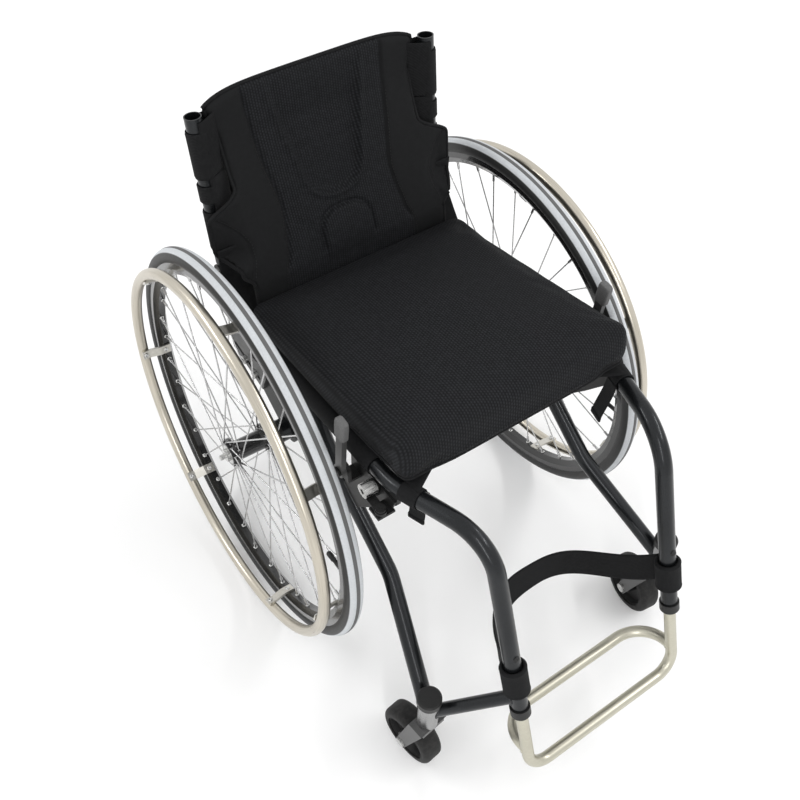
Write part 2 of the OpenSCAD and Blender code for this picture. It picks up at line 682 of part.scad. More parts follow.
// Calf strap: a loop round each leg, and a band that bows back and sags between them
loop_in = tube_r + 0.4;
loop_h = strap_h + 1.5;
band_n = 28;
bow_power = 2.7;
sag_power = 7;
strap_drop = leg_l - strap_up;
band_end = on_leg(strap_drop) + [0, loop_in + strap_t / 2, 0];
function band_mid(u) = [
  u * leg_x,
  band_end[1] + strap_bow * (1 - pow(abs(u), bow_power)),
  band_end[2] - strap_sag * (1 - pow(abs(u), sag_power))
];
function band_out(u) = unit(cross(leg_dir, band_mid(u + 0.001) - band_mid(u - 0.001)));
function band_section(u) = [
  for (c = [[1, 1], [-1, 1], [-1, -1], [1, -1]])
    band_mid(u) + c[0] * strap_t / 2 * band_out(u) + c[1] * strap_h / 2 * leg_dir
];
module calf_strap() color("#141415") placed() {
  skin([for (i = [0:band_n]) band_section(-1 + 2 * i / band_n)]);
  for (s = [0, 1]) mirror([s, 0, 0]) difference() {
    on_leg_frame(strap_drop) translate([0, 0, -loop_h / 2])
      linear_extrude(loop_h) section(loop_in + strap_t, loop_in);
    rod(on_leg(arm_drop), housing_mid, arm_d / 2 + seat_fit);
  }
}

// Backrest

lug_t = 11.4;
pin_r = 5;
cheek_t = 5;
cheek_in = lug_t / 2 + side_gap;
eye_r = 13;
tube_start = 17;
module backrest_tube() color("#3d4147") difference() {
  translate([half_w, 0, 0]) on_back() difference() {
    union() {
      translate([0, 0, tube_start]) cylinder(r = tube_r, h = back_l - tube_start);
      translate([-lug_t / 2, -9, 0]) cube([lug_t, 18, tube_start + 1]);
      rotate([0, 90, 0]) translate([0, 0, -lug_t / 2]) cylinder(r = 11, h = lug_t);
    }
    translate([0, 0, back_l - back_bore]) cylinder(r = tube_r - tube_wall, h = back_bore + 1);
    rotate([0, 90, 0]) translate([0, 0, -lug_t]) cylinder(r = pin_r + run_fit, h = 2 * lug_t);
  }
}

module hinge_bracket() color("#2b2d30") difference() {
  union() {
    for (s = [-1, 1]) side_plate(half_w + s * (cheek_in + cheek_t / 2) - cheek_t / 2, cheek_t) union() {
      polygon([
        [74, rail_z(74)], [rail_rear_y + 16, rail_rear_z - 8], [hinge_y + eye_r, hinge_z],
        [hinge_y - eye_r, hinge_z]
      ]);
      translate([hinge_y, hinge_z]) circle(eye_r);
    }
    side_plate(half_w - cheek_in, 2 * cheek_in) polygon([
      [rail_rear_y + side_gap, rail_rear_z - 6], [rail_rear_y + 15, rail_rear_z - 6],
      [rail_rear_y + 18, rail_rear_z + 22], [rail_rear_y + 8, rail_rear_z + 22]
    ]);
  }
  rail_rod(tube_r + seat_fit);
  translate([half_w - 40, hinge_y, hinge_z]) rotate([0, 90, 0]) cylinder(r = pin_r + seat_fit, h = 80);
}

module hinge_pin() {
  half = cheek_in + cheek_t + seat_fit;
  translate([half_w, hinge_y, hinge_z]) rotate([0, 90, 0]) {
    translate([0, 0, -half]) cylinder(r = pin_r, h = 2 * half);
    translate([0, 0, half]) cylinder(r = 8, h = 3);
    translate([0, 0, -half - 3]) cylinder(r = 8, h = 3);
  }
}

bar_z = 60;
bar_back = 34;
bar_d = 16;
bar_bend = 30;
bar_end = [half_w, 0, bar_z];
bar_corner = [half_w - 30, bar_back, bar_z];
module backrest_crossbar() color("#3d4147") placed() difference() {
  on_back() bent_tube(
    [flip(bar_end), flip(bar_corner), bar_corner, bar_end], [bar_bend, bar_bend], bar_d / 2, thin_wall
  );
  for (s = [-1, 1]) translate([s * half_w, 0, 0]) on_back() cylinder(r = tube_r + seat_fit, h = back_l);
}

// Straps round the tubes
strap_in = tube_r + 0.2;
strap_r = strap_in + 2.1;

// Padded cover: it sweeps forwards towards the seat, and its wings lie against the tubes
cover_low = -45;
cover_rows = 24;
cover_cols = 24;
foot_half = 153;
hip_half = 165;
neck_half = 140;
function cover_thick(u) = cover_t * (1 - 0.6 * pow(abs(u), 4));
wing_front = strap_r + side_gap + cover_thick(half_w / cover_half);
function ramp(x, a, b) = let (k = max(0, min(1, (x - a) / (b - a)))) k * k * (3 - 2 * k);
function cover_w(z) =
  z < 20 ? foot_half + (hip_half - foot_half) * ramp(z, 2, 18)
  : z < 48 ? hip_half + (cover_half - hip_half) * ramp(z, 22, 48)
  : cover_half + (neck_half - cover_half) * ramp(z, 90, 124) + 14 * ramp(z, 150, cover_top);
function cover_mid(z) = -6 + 58 * pow(1 - max(z, 0) / cover_top, 1.7);
function side_bow(z) = 6 + 6 * ramp(z, 0, 40) - 10 * ramp(z, 90, 200);
function cover_front(x, z) =
  let (
    side = cover_mid(z) + side_bow(z) * pow(x / foot_half, 2),
    wing = ramp(abs(x), 128, 172) * ramp(z, 24, 46) * (1 - ramp(z, 100, 126))
  )
  side + (wing_front - side) * wing;
function cover_ring(k) =
  let (
    z = cover_low + (cover_top - cover_low) * k / cover_rows,
    w = cover_w(z),
    edge = k == 0 || k == cover_rows ? 0.5 : 1,
    us = [for (i = [0:cover_cols]) -1 + 2 * i / cover_cols]
  )
  concat(
    [for (u = us) [w * u, -cover_front(w * u, z) + (1 - edge) * cover_thick(u) / 2, z]],
    [for (u = us) [-w * u, -cover_front(w * u, z) + (1 + edge) * cover_thick(u) / 2, z]]
  );
module backrest_cover() color("#1d1d1f") placed() on_back() skin([for (k = [0:cover_rows]) cover_ring(k)]);

// The straps have tails that run in behind the cover
module strap_loop(z, h, tail) on_back() translate([half_w, 0, z]) linear_extrude(h) {
  section(strap_r, strap_in);
  translate([-tail, strap_in]) square([tail, strap_r - strap_in]);
}
module backrest_straps() color("#161617") both() difference() {
  union() {
    strap_loop(back_l - 80, 62, 28);
    strap_loop(112, 24, 28);
    strap_loop(40, 58, 20);
  }
  on_back() rod(bar_corner, bar_end, bar_d / 2 + side_gap);
}

// Footrest

module leg_collar() color("#1a1a1b") on_leg_frame(leg_l) rotate_extrude() polygon([
  [foot_d / 2 + run_fit, -60], [tube_r - tube_wall - seat_fit, -60], [tube_r - tube_wall - seat_fit, seat_fit],
  [tube_r + 2.2, seat_fit], [tube_r + 2.2, collar_h - 2], [tube_r + 1, collar_h], [foot_d / 2 + run_fit, collar_h]
]);

module footrest_frame() color("#bdb8a6") placed() {
  top = on_leg(leg_l - foot_insert);
  corner = on_leg(foot_drop);
  weld = on_leg(foot_weld);
  back = weld + foot_back * leg_back;
  bent_tube([flip(top), flip(corner), corner, top], [foot_bend, foot_bend], foot_d / 2, thin_wall);
  difference() {
    bent_tube([flip(weld), flip(back), back, weld], [foot_rear_bend, foot_rear_bend], foot_d / 2, thin_wall);
    rod(top, corner, foot_d / 2 - 0.5);
    rod(flip(top), flip(corner), foot_d / 2 - 0.5);
  }
}

// Brakes

shelf_z = 432;
shelf_t = 4;
mount_t = 3;
mount_x = gusset_x + gusset_t + seat_fit;
arm_pivot = [half_w + 19, -arm_pivot_y, shelf_z + shelf_t];
lever_x = half_w + 25.5;
ear_t = 5;
ear_x = lever_x - side_gap - ear_t;
brake_pin_r = 4;
arm_t = 5;
module brake_mount() color("#202124") {
  side_plate(mount_x, mount_t) polygon([
    [-192, shelf_z - 8], [-192, shelf_z + 18], [-286, shelf_z + 24], [-278, shelf_z], [-262, shelf_z - 8]
  ]);
  translate([mount_x, -arm_pivot_y - 7, shelf_z]) cube([arm_pivot[0] + 8 - mount_x, 20, shelf_t]);
  translate([mount_x, -lever_pivot_y - 10, shelf_z - 6]) cube([ear_x + ear_t - mount_x, 20, shelf_t]);
  translate(arm_pivot - [0, 0, 1]) cylinder(r = brake_pin_r, h = arm_t + 2 * side_gap + 2);
  translate(arm_pivot + [0, 0, arm_t + 2 * side_gap]) cylinder(r = 6.5, h = 3);
  side_plate(ear_x, ear_t) union() {
    translate([-lever_pivot_y - 10, shelf_z - 5]) square([20, lever_pivot_z - shelf_z + 5]);
    translate([-lever_pivot_y, lever_pivot_z]) circle(10);
  }
  translate([ear_x, -lever_pivot_y, lever_pivot_z]) rotate([0, 90, 0]) {
    cylinder(r = brake_pin_r, h = ear_t + 2 * side_gap + lever_t + 2);
    translate([0, 0, ear_t + 2 * side_gap + lever_t]) cylinder(r = 6.5, h = 3);
  }
}

// Lever and its grip, along the line from the pivot to the tip
lever_lean = 5;
stem_w = 13;
grip_w = 19;
grip_l = 32;
grip_wall = 2;
stem_end = lever_l - 6;
module lever_line(w, from, to) translate([-lever_pivot_y, lever_pivot_z]) rotate(90 + lever_lean)
  translate([from, -w / 2]) square([to - from, w]);
module brake_lever() color("#3f4144") difference() {
  side_plate(lever_x, lever_t) union() {
    translate([-lever_pivot_y, lever_pivot_z]) circle(9.5);
    lever_line(stem_w, 0, stem_end);
  }
  translate([lever_x - 5, -lever_pivot_y, lever_pivot_z]) rotate([0, 90, 0])
    cylinder(r = brake_pin_r + run_fit, h = lever_t + 10);
}
module brake_grip() color("#6a6a66") difference() {
  side_plate(lever_x - grip_wall, lever_t + 2 * grip_wall) lever_line(grip_w, lever_l - grip_l, lever_l);
  side_plate(lever_x - seat_fit, lever_t + 2 * seat_fit)
    lever_line(stem_w + 2 * seat_fit, 0, stem_end + seat_fit);
}

// Arm that carries the shoe on an upright tab, and swings it out in front of the tyre
tab_plate = 3.5;
tab_x = mount_x + mount_t + side_gap;
arm_z = arm_pivot[2] + side_gap;
shoe_z = arm_z + arm_t + shoe_d / 2 + 1;
shoe_y = arm_pivot[1] + arm_reach;
module brake_arm() color("#2c2e31") difference() {
  union() {
    translate([arm_pivot[0], arm_pivot[1], arm_z]) cylinder(r = 7.5, h = arm_t);
    translate([arm_pivot[0] - 6, arm_pivot[1], arm_z]) cube([12, arm_reach + 6, arm_t]);
    translate([tab_x, shoe_y - 6, arm_z]) cube([arm_pivot[0] - tab_x, 12, arm_t]);
    translate([tab_x, shoe_y - 6, arm_z]) cube([tab_plate, 12, shoe_z - arm_z + 6]);
  }
  translate([arm_pivot[0], arm_pivot[1], arm_z - 1]) cylinder(r = brake_pin_r + run_fit, h = arm_t + 2);
}
module brake_shoe() color("#9aa39b") translate([tab_x + tab_plate + seat_fit, shoe_y, shoe_z]) rotate([0, 90, 0])
  difference() {
    cylinder(r = shoe_d / 2, h = shoe_l);
    translate([0, 0, shoe_l - 7]) cylinder(r = 4, h = 8, $fn = 6);
  }

right() side_tube();  // right_side_tube
left() side_tube();  // left_side_tube
right() lower_tube();  // right_lower_tube
left() lower_tube();  // left_lower_tube
both() caster_arm();  // caster_arms
both() caster_housing();  // caster_housings
both() caster_cap();  // caster_caps
both() caster_bearing_pair();  // caster_bearings
both() gusset_plate();  // gusset_plates
both() axle_plate();  // axle_plates
both() axle_clamp();  // axle_clamps
axle_tube();
both() camber_plug();  // camber_plugs
both() axle_pin();  // axle_pins
seat_sling();
seat_cushion();
both() seat_strap();  // seat_straps
calf_strap();
both() hinge_bracket();  // hinge_brackets
both() leg_collar();  // leg_collars
both() side_bolts();  // frame_bolts
both() brake_mount();  // brake_mounts
right() backrest_tube();  // right_backrest_tube
left() backrest_tube();  // left_backrest_tube
backrest_crossbar();
backrest_cover();
backrest_straps();
footrest_frame();
right() brake_lever();  // right_brake_lever
left() brake_lever();  // left_brake_lever
right() brake_grip();  // right_brake_grip
left() brake_grip();  // left_brake_grip
right() brake_arm();  // right_brake_arm
left() brake_arm();  // left_brake_arm
right() brake_shoe();  // right_brake_shoe
left() brake_shoe();  // left_brake_shoe
right() tyre();  // right_tyre
left() tyre();  // left_tyre
right() rim();  // right_rim
left() rim();  // left_rim
right() spokes();  // right_spokes
left() spokes();  // left_spokes
right() hub();  // right_hub
left() hub();  // left_hub
right() hub_bearings();  // right_hub_bearings
left() hub_bearings();  // left_hub_bearings
right() handrim();  // right_handrim
left() handrim();  // left_handrim
right() handrim_tabs();  // right_handrim_tabs
left() handrim_tabs();  // left_handrim_tabs
right() axle_button();  // right_axle_button
left() axle_button();  // left_axle_button
right() caster_fork();  // right_caster_fork
left() caster_fork();  // left_caster_fork
right() caster_core();  // right_caster_core
left() caster_core();  // left_caster_core
right() caster_tyre();  // right_caster_tyre
left() caster_tyre();  // left_caster_tyre
right() caster_axle();  // right_caster_axle
left() caster_axle();  // left_caster_axle
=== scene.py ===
# Manual wheelchair with a rigid open frame: finishes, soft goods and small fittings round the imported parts.
# Metres throughout. The chair faces -Y, +X is the sitter's left, and the floor is z = 0.
import math

import bmesh
import bpy
import numpy as np
from mathutils import Matrix, Vector
from mathutils.bvhtree import BVHTree


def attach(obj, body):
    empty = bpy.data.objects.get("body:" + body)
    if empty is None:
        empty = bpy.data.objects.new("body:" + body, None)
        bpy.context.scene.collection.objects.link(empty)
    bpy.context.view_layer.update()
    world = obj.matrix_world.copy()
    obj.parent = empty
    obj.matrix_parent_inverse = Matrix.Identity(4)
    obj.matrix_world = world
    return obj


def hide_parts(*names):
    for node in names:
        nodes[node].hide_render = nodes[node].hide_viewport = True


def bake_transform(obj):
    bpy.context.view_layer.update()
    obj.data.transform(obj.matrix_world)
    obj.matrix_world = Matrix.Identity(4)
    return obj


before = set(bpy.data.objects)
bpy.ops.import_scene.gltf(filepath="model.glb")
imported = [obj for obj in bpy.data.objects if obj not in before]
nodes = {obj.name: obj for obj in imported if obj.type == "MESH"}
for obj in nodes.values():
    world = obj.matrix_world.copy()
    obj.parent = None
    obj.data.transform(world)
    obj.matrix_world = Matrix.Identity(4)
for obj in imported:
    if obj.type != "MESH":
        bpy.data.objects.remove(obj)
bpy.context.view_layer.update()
scene = bpy.context.scene
scene.view_settings.view_transform = "Standard"

# Studio: a pale floor under an even white sky, with three strip softboxes for the highlights on the tubes.
# The camera stands where the photograph was taken from: high, in front, on the sitter's right.


class Value:
    """One output in a node tree. Maths on it adds Math nodes."""

    def __init__(self, look, socket):
        self.look, self.socket = look, socket

    def maths(self, operation, *rest):
        return self.look.node("ShaderNodeMath", {"operation": operation}, dict(enumerate([self, *rest])))

    def __add__(self, other):
        return self.maths("ADD", other)

    def __mul__(self, other):
        return self.maths("MULTIPLY", other)

    __radd__, __rmul__ = __add__, __mul__

    def __sub__(self, other):
        return self.maths("SUBTRACT", other)

    def __rsub__(self, other):
        return self.maths("MULTIPLY_ADD", -1.0, other)

    def __abs__(self):
        return self.maths("ABSOLUTE")

    def step(self, low, high):
        """0 below low, 1 above high, smooth between."""
        return self.look.node("ShaderNodeMapRange", {"interpolation_type": "SMOOTHSTEP"},
                              {"Value": self, "From Min": low, "From Max": high})

    def wave(self, length):
        return (self * (2 * math.pi / length)).maths("COSINE")


class Look:
    """A material or world, and the one method that adds its nodes."""

    def __init__(self, owner):
        self.owner = owner
        owner.use_nodes = True
        self.tree = owner.node_tree

    def node(self, kind, settings=None, sockets=None, out=0):
        made = self.tree.nodes.new(kind)
        for key, value in (settings or {}).items():
            setattr(made, key, value)
        for key, value in (sockets or {}).items():
            if isinstance(value, Value):
                self.tree.links.new(value.socket, made.inputs[key])
            else:
                made.inputs[key].default_value = value
        return Value(self, made.outputs[out])

    def vector(self, operation, a, b=(0, 0, 0), out=0):
        return self.node("ShaderNodeVectorMath", {"operation": operation}, {0: a, 1: b}, out)

    def place(self):
        return self.node("ShaderNodeTexCoord", out="Object")

    def along(self, direction):
        """How far a surface point lies along a direction."""
        return self.vector("DOT_PRODUCT", self.place(), direction, "Value")

    def noise(self, scale, detail=2.0, stretch=(1, 1, 1)):
        """Noise from 0 to 1 with about scale cells in a metre, stretched along the axes."""
        mapped = self.node("ShaderNodeMapping", {}, {"Vector": self.place(), "Scale": stretch})
        return self.node("ShaderNodeTexNoise", {}, {"Vector": mapped, "Scale": scale, "Detail": detail})

    def blend(self, a, b, factor):
        """Colour a where the factor is 0, b where it is 1."""
        return self.node("ShaderNodeMix", {"data_type": "RGBA"}, {"Factor": factor, 6: a, 7: b}, 2)

    def attribute(self, name):
        return self.node("ShaderNodeAttribute", {"attribute_name": name}, {}, "Fac")


class Finish(Look):
    """A Principled material. Plain numbers are set on the shader, and Values are linked to it."""

    def __init__(self, name, **sockets):
        super().__init__(bpy.data.materials.new(name))
        self.shader = self.tree.nodes["Principled BSDF"]
        self.feed(**sockets)

    def feed(self, **sockets):
        for key, value in sockets.items():
            socket = self.shader.inputs[key.replace("_", " ").title().replace("Ior", "IOR")]
            if isinstance(value, Value):
                self.tree.links.new(value.socket, socket)
            else:
                socket.default_value = value

    def mottle(self, pattern, low, high, rough, spread, tone=None):
        """Roughens with a pattern, and colours from low to high with a tone, or else with that pattern."""
        self.feed(base_color=self.blend(low, high, tone or pattern), roughness=rough + pattern * spread)

    def bump(self, height, distance, strength):
        sockets = {"Height": height, "Distance": distance, "Strength": strength}
        self.feed(normal=self.node("ShaderNodeBump", {}, sockets))


def grey(level, tint=(1, 1, 1)):
    return (level * tint[0], level * tint[1], level * tint[2], 1)


sky_level = 0.93
floor_size = 9.0
floor_drop = 0.0006
sky = Look(bpy.data.worlds.new("studio_sky"))
scene.world = sky.owner
rays = [sky.node("ShaderNodeLightPath", out="Is " + kind + " Ray")
        for kind in ("Camera", "Glossy", "Transmission")]
seen = rays[0].maths("MAXIMUM", rays[1]).maths("MAXIMUM", rays[2])
backdrop = sky.tree.nodes["Background"]
backdrop.inputs["Color"].default_value = grey(1)
sky.tree.links.new((seen * (1 - sky_level) + sky_level).socket, backdrop.inputs["Strength"])

floor_mesh = bpy.data.meshes.new("floor")
half = floor_size / 2
floor_corners = ((-half, -half), (half, -half), (half, half), (-half, half))
floor_mesh.from_pydata([(x, y, -floor_drop) for x, y in floor_corners], [], [(0, 1, 2, 3)])
floor = bpy.data.objects.new("floor", floor_mesh)
scene.collection.objects.link(floor)
floor_paper = Finish("floor_paper", base_color=grey(0.96), roughness=0.85)
floor_mesh.materials.append(floor_paper.owner)


def softbox(name, spot, aim, size, power):
    lamp = bpy.data.lights.new(name, "AREA")
    lamp.shape, lamp.size, lamp.size_y, lamp.energy = "RECTANGLE", size[0], size[1], power
    holder = bpy.data.objects.new(name, lamp)
    holder.location = spot
    holder.rotation_euler = (Vector(aim) - Vector(spot)).to_track_quat("-Z", "Y").to_euler()
    scene.collection.objects.link(holder)


softbox("key_softbox", (1.7, -1.1, 2.3), (0, 0, 0.35), (2.0, 0.14), 22)
softbox("rear_softbox", (-1.6, 1.5, 2.1), (0, 0, 0.4), (1.8, 0.14), 16)
softbox("front_softbox", (-1.2, -1.9, 1.6), (0, 0, 0.35), (0.14, 1.8), 12)

camera_spot = (-0.526434, -0.663695, 1.372987)
camera_right = Vector((0.8242116, -0.56614514, 0.01244658))
camera_up = Vector((0.42716328, 0.63600652, 0.64267195))
camera_turn = Matrix((camera_right, camera_up, camera_right.cross(camera_up))).transposed()
camera_data = bpy.data.cameras.new("camera")
camera_data.sensor_width, camera_data.lens = 36.0, 42.993
camera = bpy.data.objects.new("camera", camera_data)
scene.collection.objects.link(camera)
scene.camera = camera
camera.matrix_world = Matrix.Translation(camera_spot) @ camera_turn.to_4x4()

# Frame: two bent steel tubes make the rails, knees and legs, and two more run down to the casters.
# All are powder coated in dark metallic graphite with a clear coat.
# The arms, the axle tube and the backrest's tubes have the same coat.
graphite = Finish("graphite_coat", metallic=0.7, coat_roughness=0.08)
cloud, fleck = graphite.noise(11), graphite.noise(1500, 1)
graphite.mottle(fleck, grey(0.008, (0.9, 1, 1.12)), grey(0.026, (0.92, 1, 1.1)), 0.24, 0.1,
                (fleck * 0.75 + cloud * 0.4).step(0.3, 0.85))
graphite.feed(coat_weight=0.12 + cloud * 0.1)
graphite.bump(graphite.noise(260, 2), 0.00006, 0.6)


def dress(look, *names):
    """Gives CAD nodes a finish."""
    for name in names:
        mesh = nodes[name].data
        mesh.materials.clear()
        mesh.materials.append(look.owner)


def sided(*names):
    return [side + "_" + name for name in names for side in ("right", "left")]


dress(graphite, "caster_arms", "axle_tube", "backrest_crossbar",
      *sided("side_tube", "lower_tube", "backrest_tube"))

# Weld seams: beads of weld where the arms, lower tubes and crossbar meet the tubes that they join.
# A Geometry Nodes tree sets the beads along each seam, and the graphite coat covers them.


def make_object(name, mesh):
    made = bpy.data.objects.new(name, mesh)
    scene.collection.objects.link(made)
    return made


def mesh_of(name, points, faces, edges=(), turn_out=False):
    mesh = bpy.data.meshes.new(name)
    mesh.from_pydata([tuple(p) for p in points], edges, faces)
    if turn_out:
        shape = bmesh.new()
        shape.from_mesh(mesh)
        bmesh.ops.remove_doubles(shape, verts=shape.verts, dist=1e-5)
        bmesh.ops.recalc_face_normals(shape, faces=shape.faces)
        shape.to_mesh(mesh)
        shape.free()
    return mesh


def evaluated(holder):
    """A plain mesh of an object as its modifiers leave it."""
    return bpy.data.meshes.new_from_object(holder.evaluated_get(bpy.context.evaluated_depsgraph_get()))


def finished(holder, name):
    """The evaluated mesh under a name, in place of its object."""
    made = evaluated(holder)
    made.name = name
    bpy.data.objects.remove(holder)
    return made


def show(mesh, look, body):
    """A finished mesh becomes a piece with a look. It rides on a body, if one is named."""
    mesh.shade_smooth()
    mesh.materials.clear()
    mesh.materials.append(look.owner)
    piece = make_object(mesh.name, mesh)
    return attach(piece, body) if body else piece


def show_both(mesh, look, body):
    """Shows a left-hand mesh, and its mirror image on the right."""
    other = mesh.copy()
    other.transform(Matrix.Scale(-1, 4, (1, 0, 0)))
    other.flip_normals()
    name = mesh.name
    shown = {}
    for side, made in (("left", mesh), ("right", other)):
        made.name = side + "_" + name
        shown[side] = show(made, look, body.format(side))
    return shown


class Maker(Look):
    """A Geometry Nodes tree with named inputs. It runs once on a mesh, and gives back a plain mesh."""

    def __init__(self, name, **inputs):
        self.tree = bpy.data.node_groups.new(name, "GeometryNodeTree")
        for key, kind in {"Geometry": "Geometry", "Finish": "Material", **inputs}.items():
            self.tree.interface.new_socket(key, in_out="INPUT", socket_type="NodeSocket" + kind)
        self.tree.interface.new_socket("Geometry", in_out="OUTPUT", socket_type="NodeSocketGeometry")
        self.start = self.tree.nodes.new("NodeGroupInput")

    def __getitem__(self, key):
        return Value(self, self.start.outputs[key])

    def end(self, made):
        real = self.node("GeometryNodeRealizeInstances", {}, {0: made})
        painted = self.node("GeometryNodeSetMaterial", {}, {"Geometry": real, "Material": self["Finish"]})
        self.tree.links.new(painted.socket, self.tree.nodes.new("NodeGroupOutput").inputs[0])

    def run(self, name, mesh, look, **inputs):
        holder = make_object(name, mesh)
        modifier = holder.modifiers.new(name, "NODES")
        modifier.node_group = self.tree
        for item in self.tree.interface.items_tree:
            if item.in_out == "INPUT" and item.name in {"Finish", *inputs}:
                modifier[item.identifier] = {"Finish": look.owner, **inputs}[item.name]
        return finished(holder, name)


beads_along = Maker("beads_along", Spacing="Float", Size="Vector", Vary="Float")
line = beads_along.node("GeometryNodeMeshToCurve", {}, {0: beads_along["Geometry"]})
spots = beads_along.node("GeometryNodeCurveToPoints", {"mode": "LENGTH"},
                         {"Curve": line, "Length": beads_along["Spacing"]})
turn = Value(beads_along, spots.socket.node.outputs["Rotation"])
bead = beads_along.node("GeometryNodeMeshUVSphere", {}, {"Segments": 8, "Rings": 6, "Radius": 1.0})
vary = beads_along["Vary"]
share = beads_along.node("FunctionNodeRandomValue", {}, {2: 1 - vary, 3: vary + 1, "Seed": 7}, 1)
size = beads_along.node("ShaderNodeVectorMath", {"operation": "SCALE"},
                        {0: beads_along["Size"], "Scale": share})
beads_along.end(beads_along.node("GeometryNodeInstanceOnPoints", {}, {
    "Points": spots, "Instance": bead, "Rotation": turn, "Scale": size}))


def line_mesh(name, points, closed=False):
    n = len(points)
    return mesh_of(name, points, [], [(k, (k + 1) % n) for k in range(n if closed else n - 1)])


def circle(centre, axis, radius, count=48, side=None):
    """Points round an axis, which start on a side of it."""
    axis = Vector(axis).normalized()
    if side is None:
        side = axis.orthogonal().normalized()
    return [centre + (side * math.cos(t) + axis.cross(side) * math.sin(t)) * radius
            for t in (2 * math.pi * k / count for k in range(count))]


def seam(start, along, radius, post, post_along, post_radius):
    """The ring on which a tube that runs out from start leaves the round side of a post."""
    along, post_along = along.normalized(), post_along.normalized()
    across = along - post_along * along.dot(post_along)
    ring = []
    for p in circle(start, along, radius):
        gap = p - post - post_along * (p - post).dot(post_along)
        a, b, c = across.dot(across), across.dot(gap), gap.dot(gap) - post_radius ** 2
        ring.append(p + along * ((math.sqrt(max(0.0, b * b - a * c)) - b) / a))
    return ring


def weld(name, ring, look, body, size=0.0017):
    """Beads as wide as size and a fifth longer, set a little apart."""
    beads = beads_along.run(name, line_mesh(name, ring, closed=True), look,
                            Spacing=1.3 * size, Size=(size, size, 1.2 * size), Vary=0.12)
    return show_both(beads, look, body)


axle_y = 0.125627
tube_r, arm_r, bar_r, housing_r = 0.011, 0.009, 0.008, 0.014
seat_back, seat_z, hinge_back, hinge_z = 0.112, 0.436, 0.125, 0.5
rail_x, rail_length, knee_x, knee_reach, arm_drop = 0.168, 0.384, 0.128, 0.132, 0.253
seat_pitch, back_lean, leg_tilt = (math.radians(a) for a in (5.7, 6.1, 19.9))
seat_matrix = Matrix.Translation((0, seat_back + axle_y, seat_z)) @ Matrix.Rotation(-seat_pitch, 4, "X")
back_matrix = Matrix.Translation((0, hinge_back + axle_y, hinge_z)) @ Matrix.Rotation(-back_lean, 4, "X")
turn_in = seat_matrix @ Vector((rail_x, -rail_length, 0))
knee = Vector((knee_x, turn_in.y - knee_reach, turn_in.z + knee_reach * math.tan(seat_pitch)))
leg_dir = Vector((0, -math.sin(leg_tilt), -math.cos(leg_tilt)))
leg_back = Vector((0, math.cos(leg_tilt), -math.sin(leg_tilt)))
upright = Vector((0, 0, 1))
arm_top = knee + leg_dir * arm_drop
housing_mid = Vector((0.208, axle_y - 0.417, 0.1629))
lower_bend = Vector((rail_x, axle_y - 0.270, 0.266))
bar_end, bar_corner = Vector((rail_x, 0, 0.060)), Vector((rail_x - 0.030, 0.034, 0.060))
frame_seams = {
    "arm_leg_weld": seam(arm_top, housing_mid - arm_top, arm_r, knee, leg_dir, tube_r),
    "arm_housing_weld": seam(housing_mid, arm_top - housing_mid, arm_r, housing_mid, upright, housing_r),
    "lower_housing_weld": seam(housing_mid, lower_bend - housing_mid, tube_r, housing_mid, upright, housing_r)}
for name, ring in frame_seams.items():
    weld(name, ring, graphite, "frame")
bar_seam = seam(bar_end, bar_corner - bar_end, bar_r, bar_end, upright, tube_r)
weld("crossbar_weld", [back_matrix @ p for p in bar_seam], graphite, "backrest")

# Brackets and hardware: black laser-cut plates brace the side frame and carry the brakes and backrest hinge.
# They have a fine powder coat. The axle plates and brake levers are grey, and the bolts are zinc plated.
black_coat = Finish("black_coat", metallic=0.1, specular_ior_level=0.3)
grain = black_coat.noise(900, 3)
black_coat.mottle(grain, grey(0.010), grey(0.026), 0.34, 0.2, grain.step(0.35, 0.75))
black_coat.bump(grain, 0.00012, 0.5)
grey_coat = Finish("grey_coat", metallic=0.6)
grain = grey_coat.noise(700, 2)
grey_coat.mottle(grain, grey(0.060), grey(0.11), 0.32, 0.16)
grey_coat.bump(grain, 0.00008, 0.4)
zinc = Finish("bright_zinc", metallic=1.0)
zinc.mottle(zinc.noise(220, 3, (1, 6, 1)), grey(0.48), grey(0.68, (1, 1, 0.97)), 0.18, 0.2)
dress(black_coat, "gusset_plates", "axle_clamps", "camber_plugs", "hinge_brackets", "brake_mounts",
      *sided("brake_arm"))
dress(grey_coat, "axle_plates", *sided("brake_lever"))
dress(zinc, "frame_bolts", "axle_pins", "caster_bearings",
      *sided("brake_shoe", "axle_button", "hub_bearings"))

# Rear wheels: black alloy rims laced with bright spokes to black hubs, and leaning in at the top.
# A finish that follows a wheel reads the point's place on it, taken on the left wheel for both sides.
camber = math.radians(2.7)
wheel_centre = Vector((0.233, axle_y, 0.294686))
wheel_axis = Vector((math.cos(camber), 0, math.sin(camber)))
wheel_down = Vector((math.sin(camber), 0, -math.cos(camber)))
wheel_back = Vector((0, 1, 0))
wheel_turn = Matrix((wheel_down, wheel_back, wheel_axis)).transposed()
wheel_matrix = Matrix.Translation(wheel_centre) @ wheel_turn.to_4x4()


def wheel_place(look):
    """Offset from the tyre's middle plane, and the angle round the axle, of a point on either rear wheel."""
    outward = look.vector("ABSOLUTE", look.vector("MULTIPLY", look.place(), (1, 0, 0)))
    rest = look.vector("MULTIPLY", look.place(), (0, 1, 1))
    place = look.vector("SUBTRACT", look.vector("ADD", outward, rest), tuple(wheel_centre))
    offset, back, down = (look.vector("DOT_PRODUCT", place, tuple(way), "Value")
                          for way in (wheel_axis, wheel_back, wheel_down))
    return offset, back.maths("ARCTAN2", down)


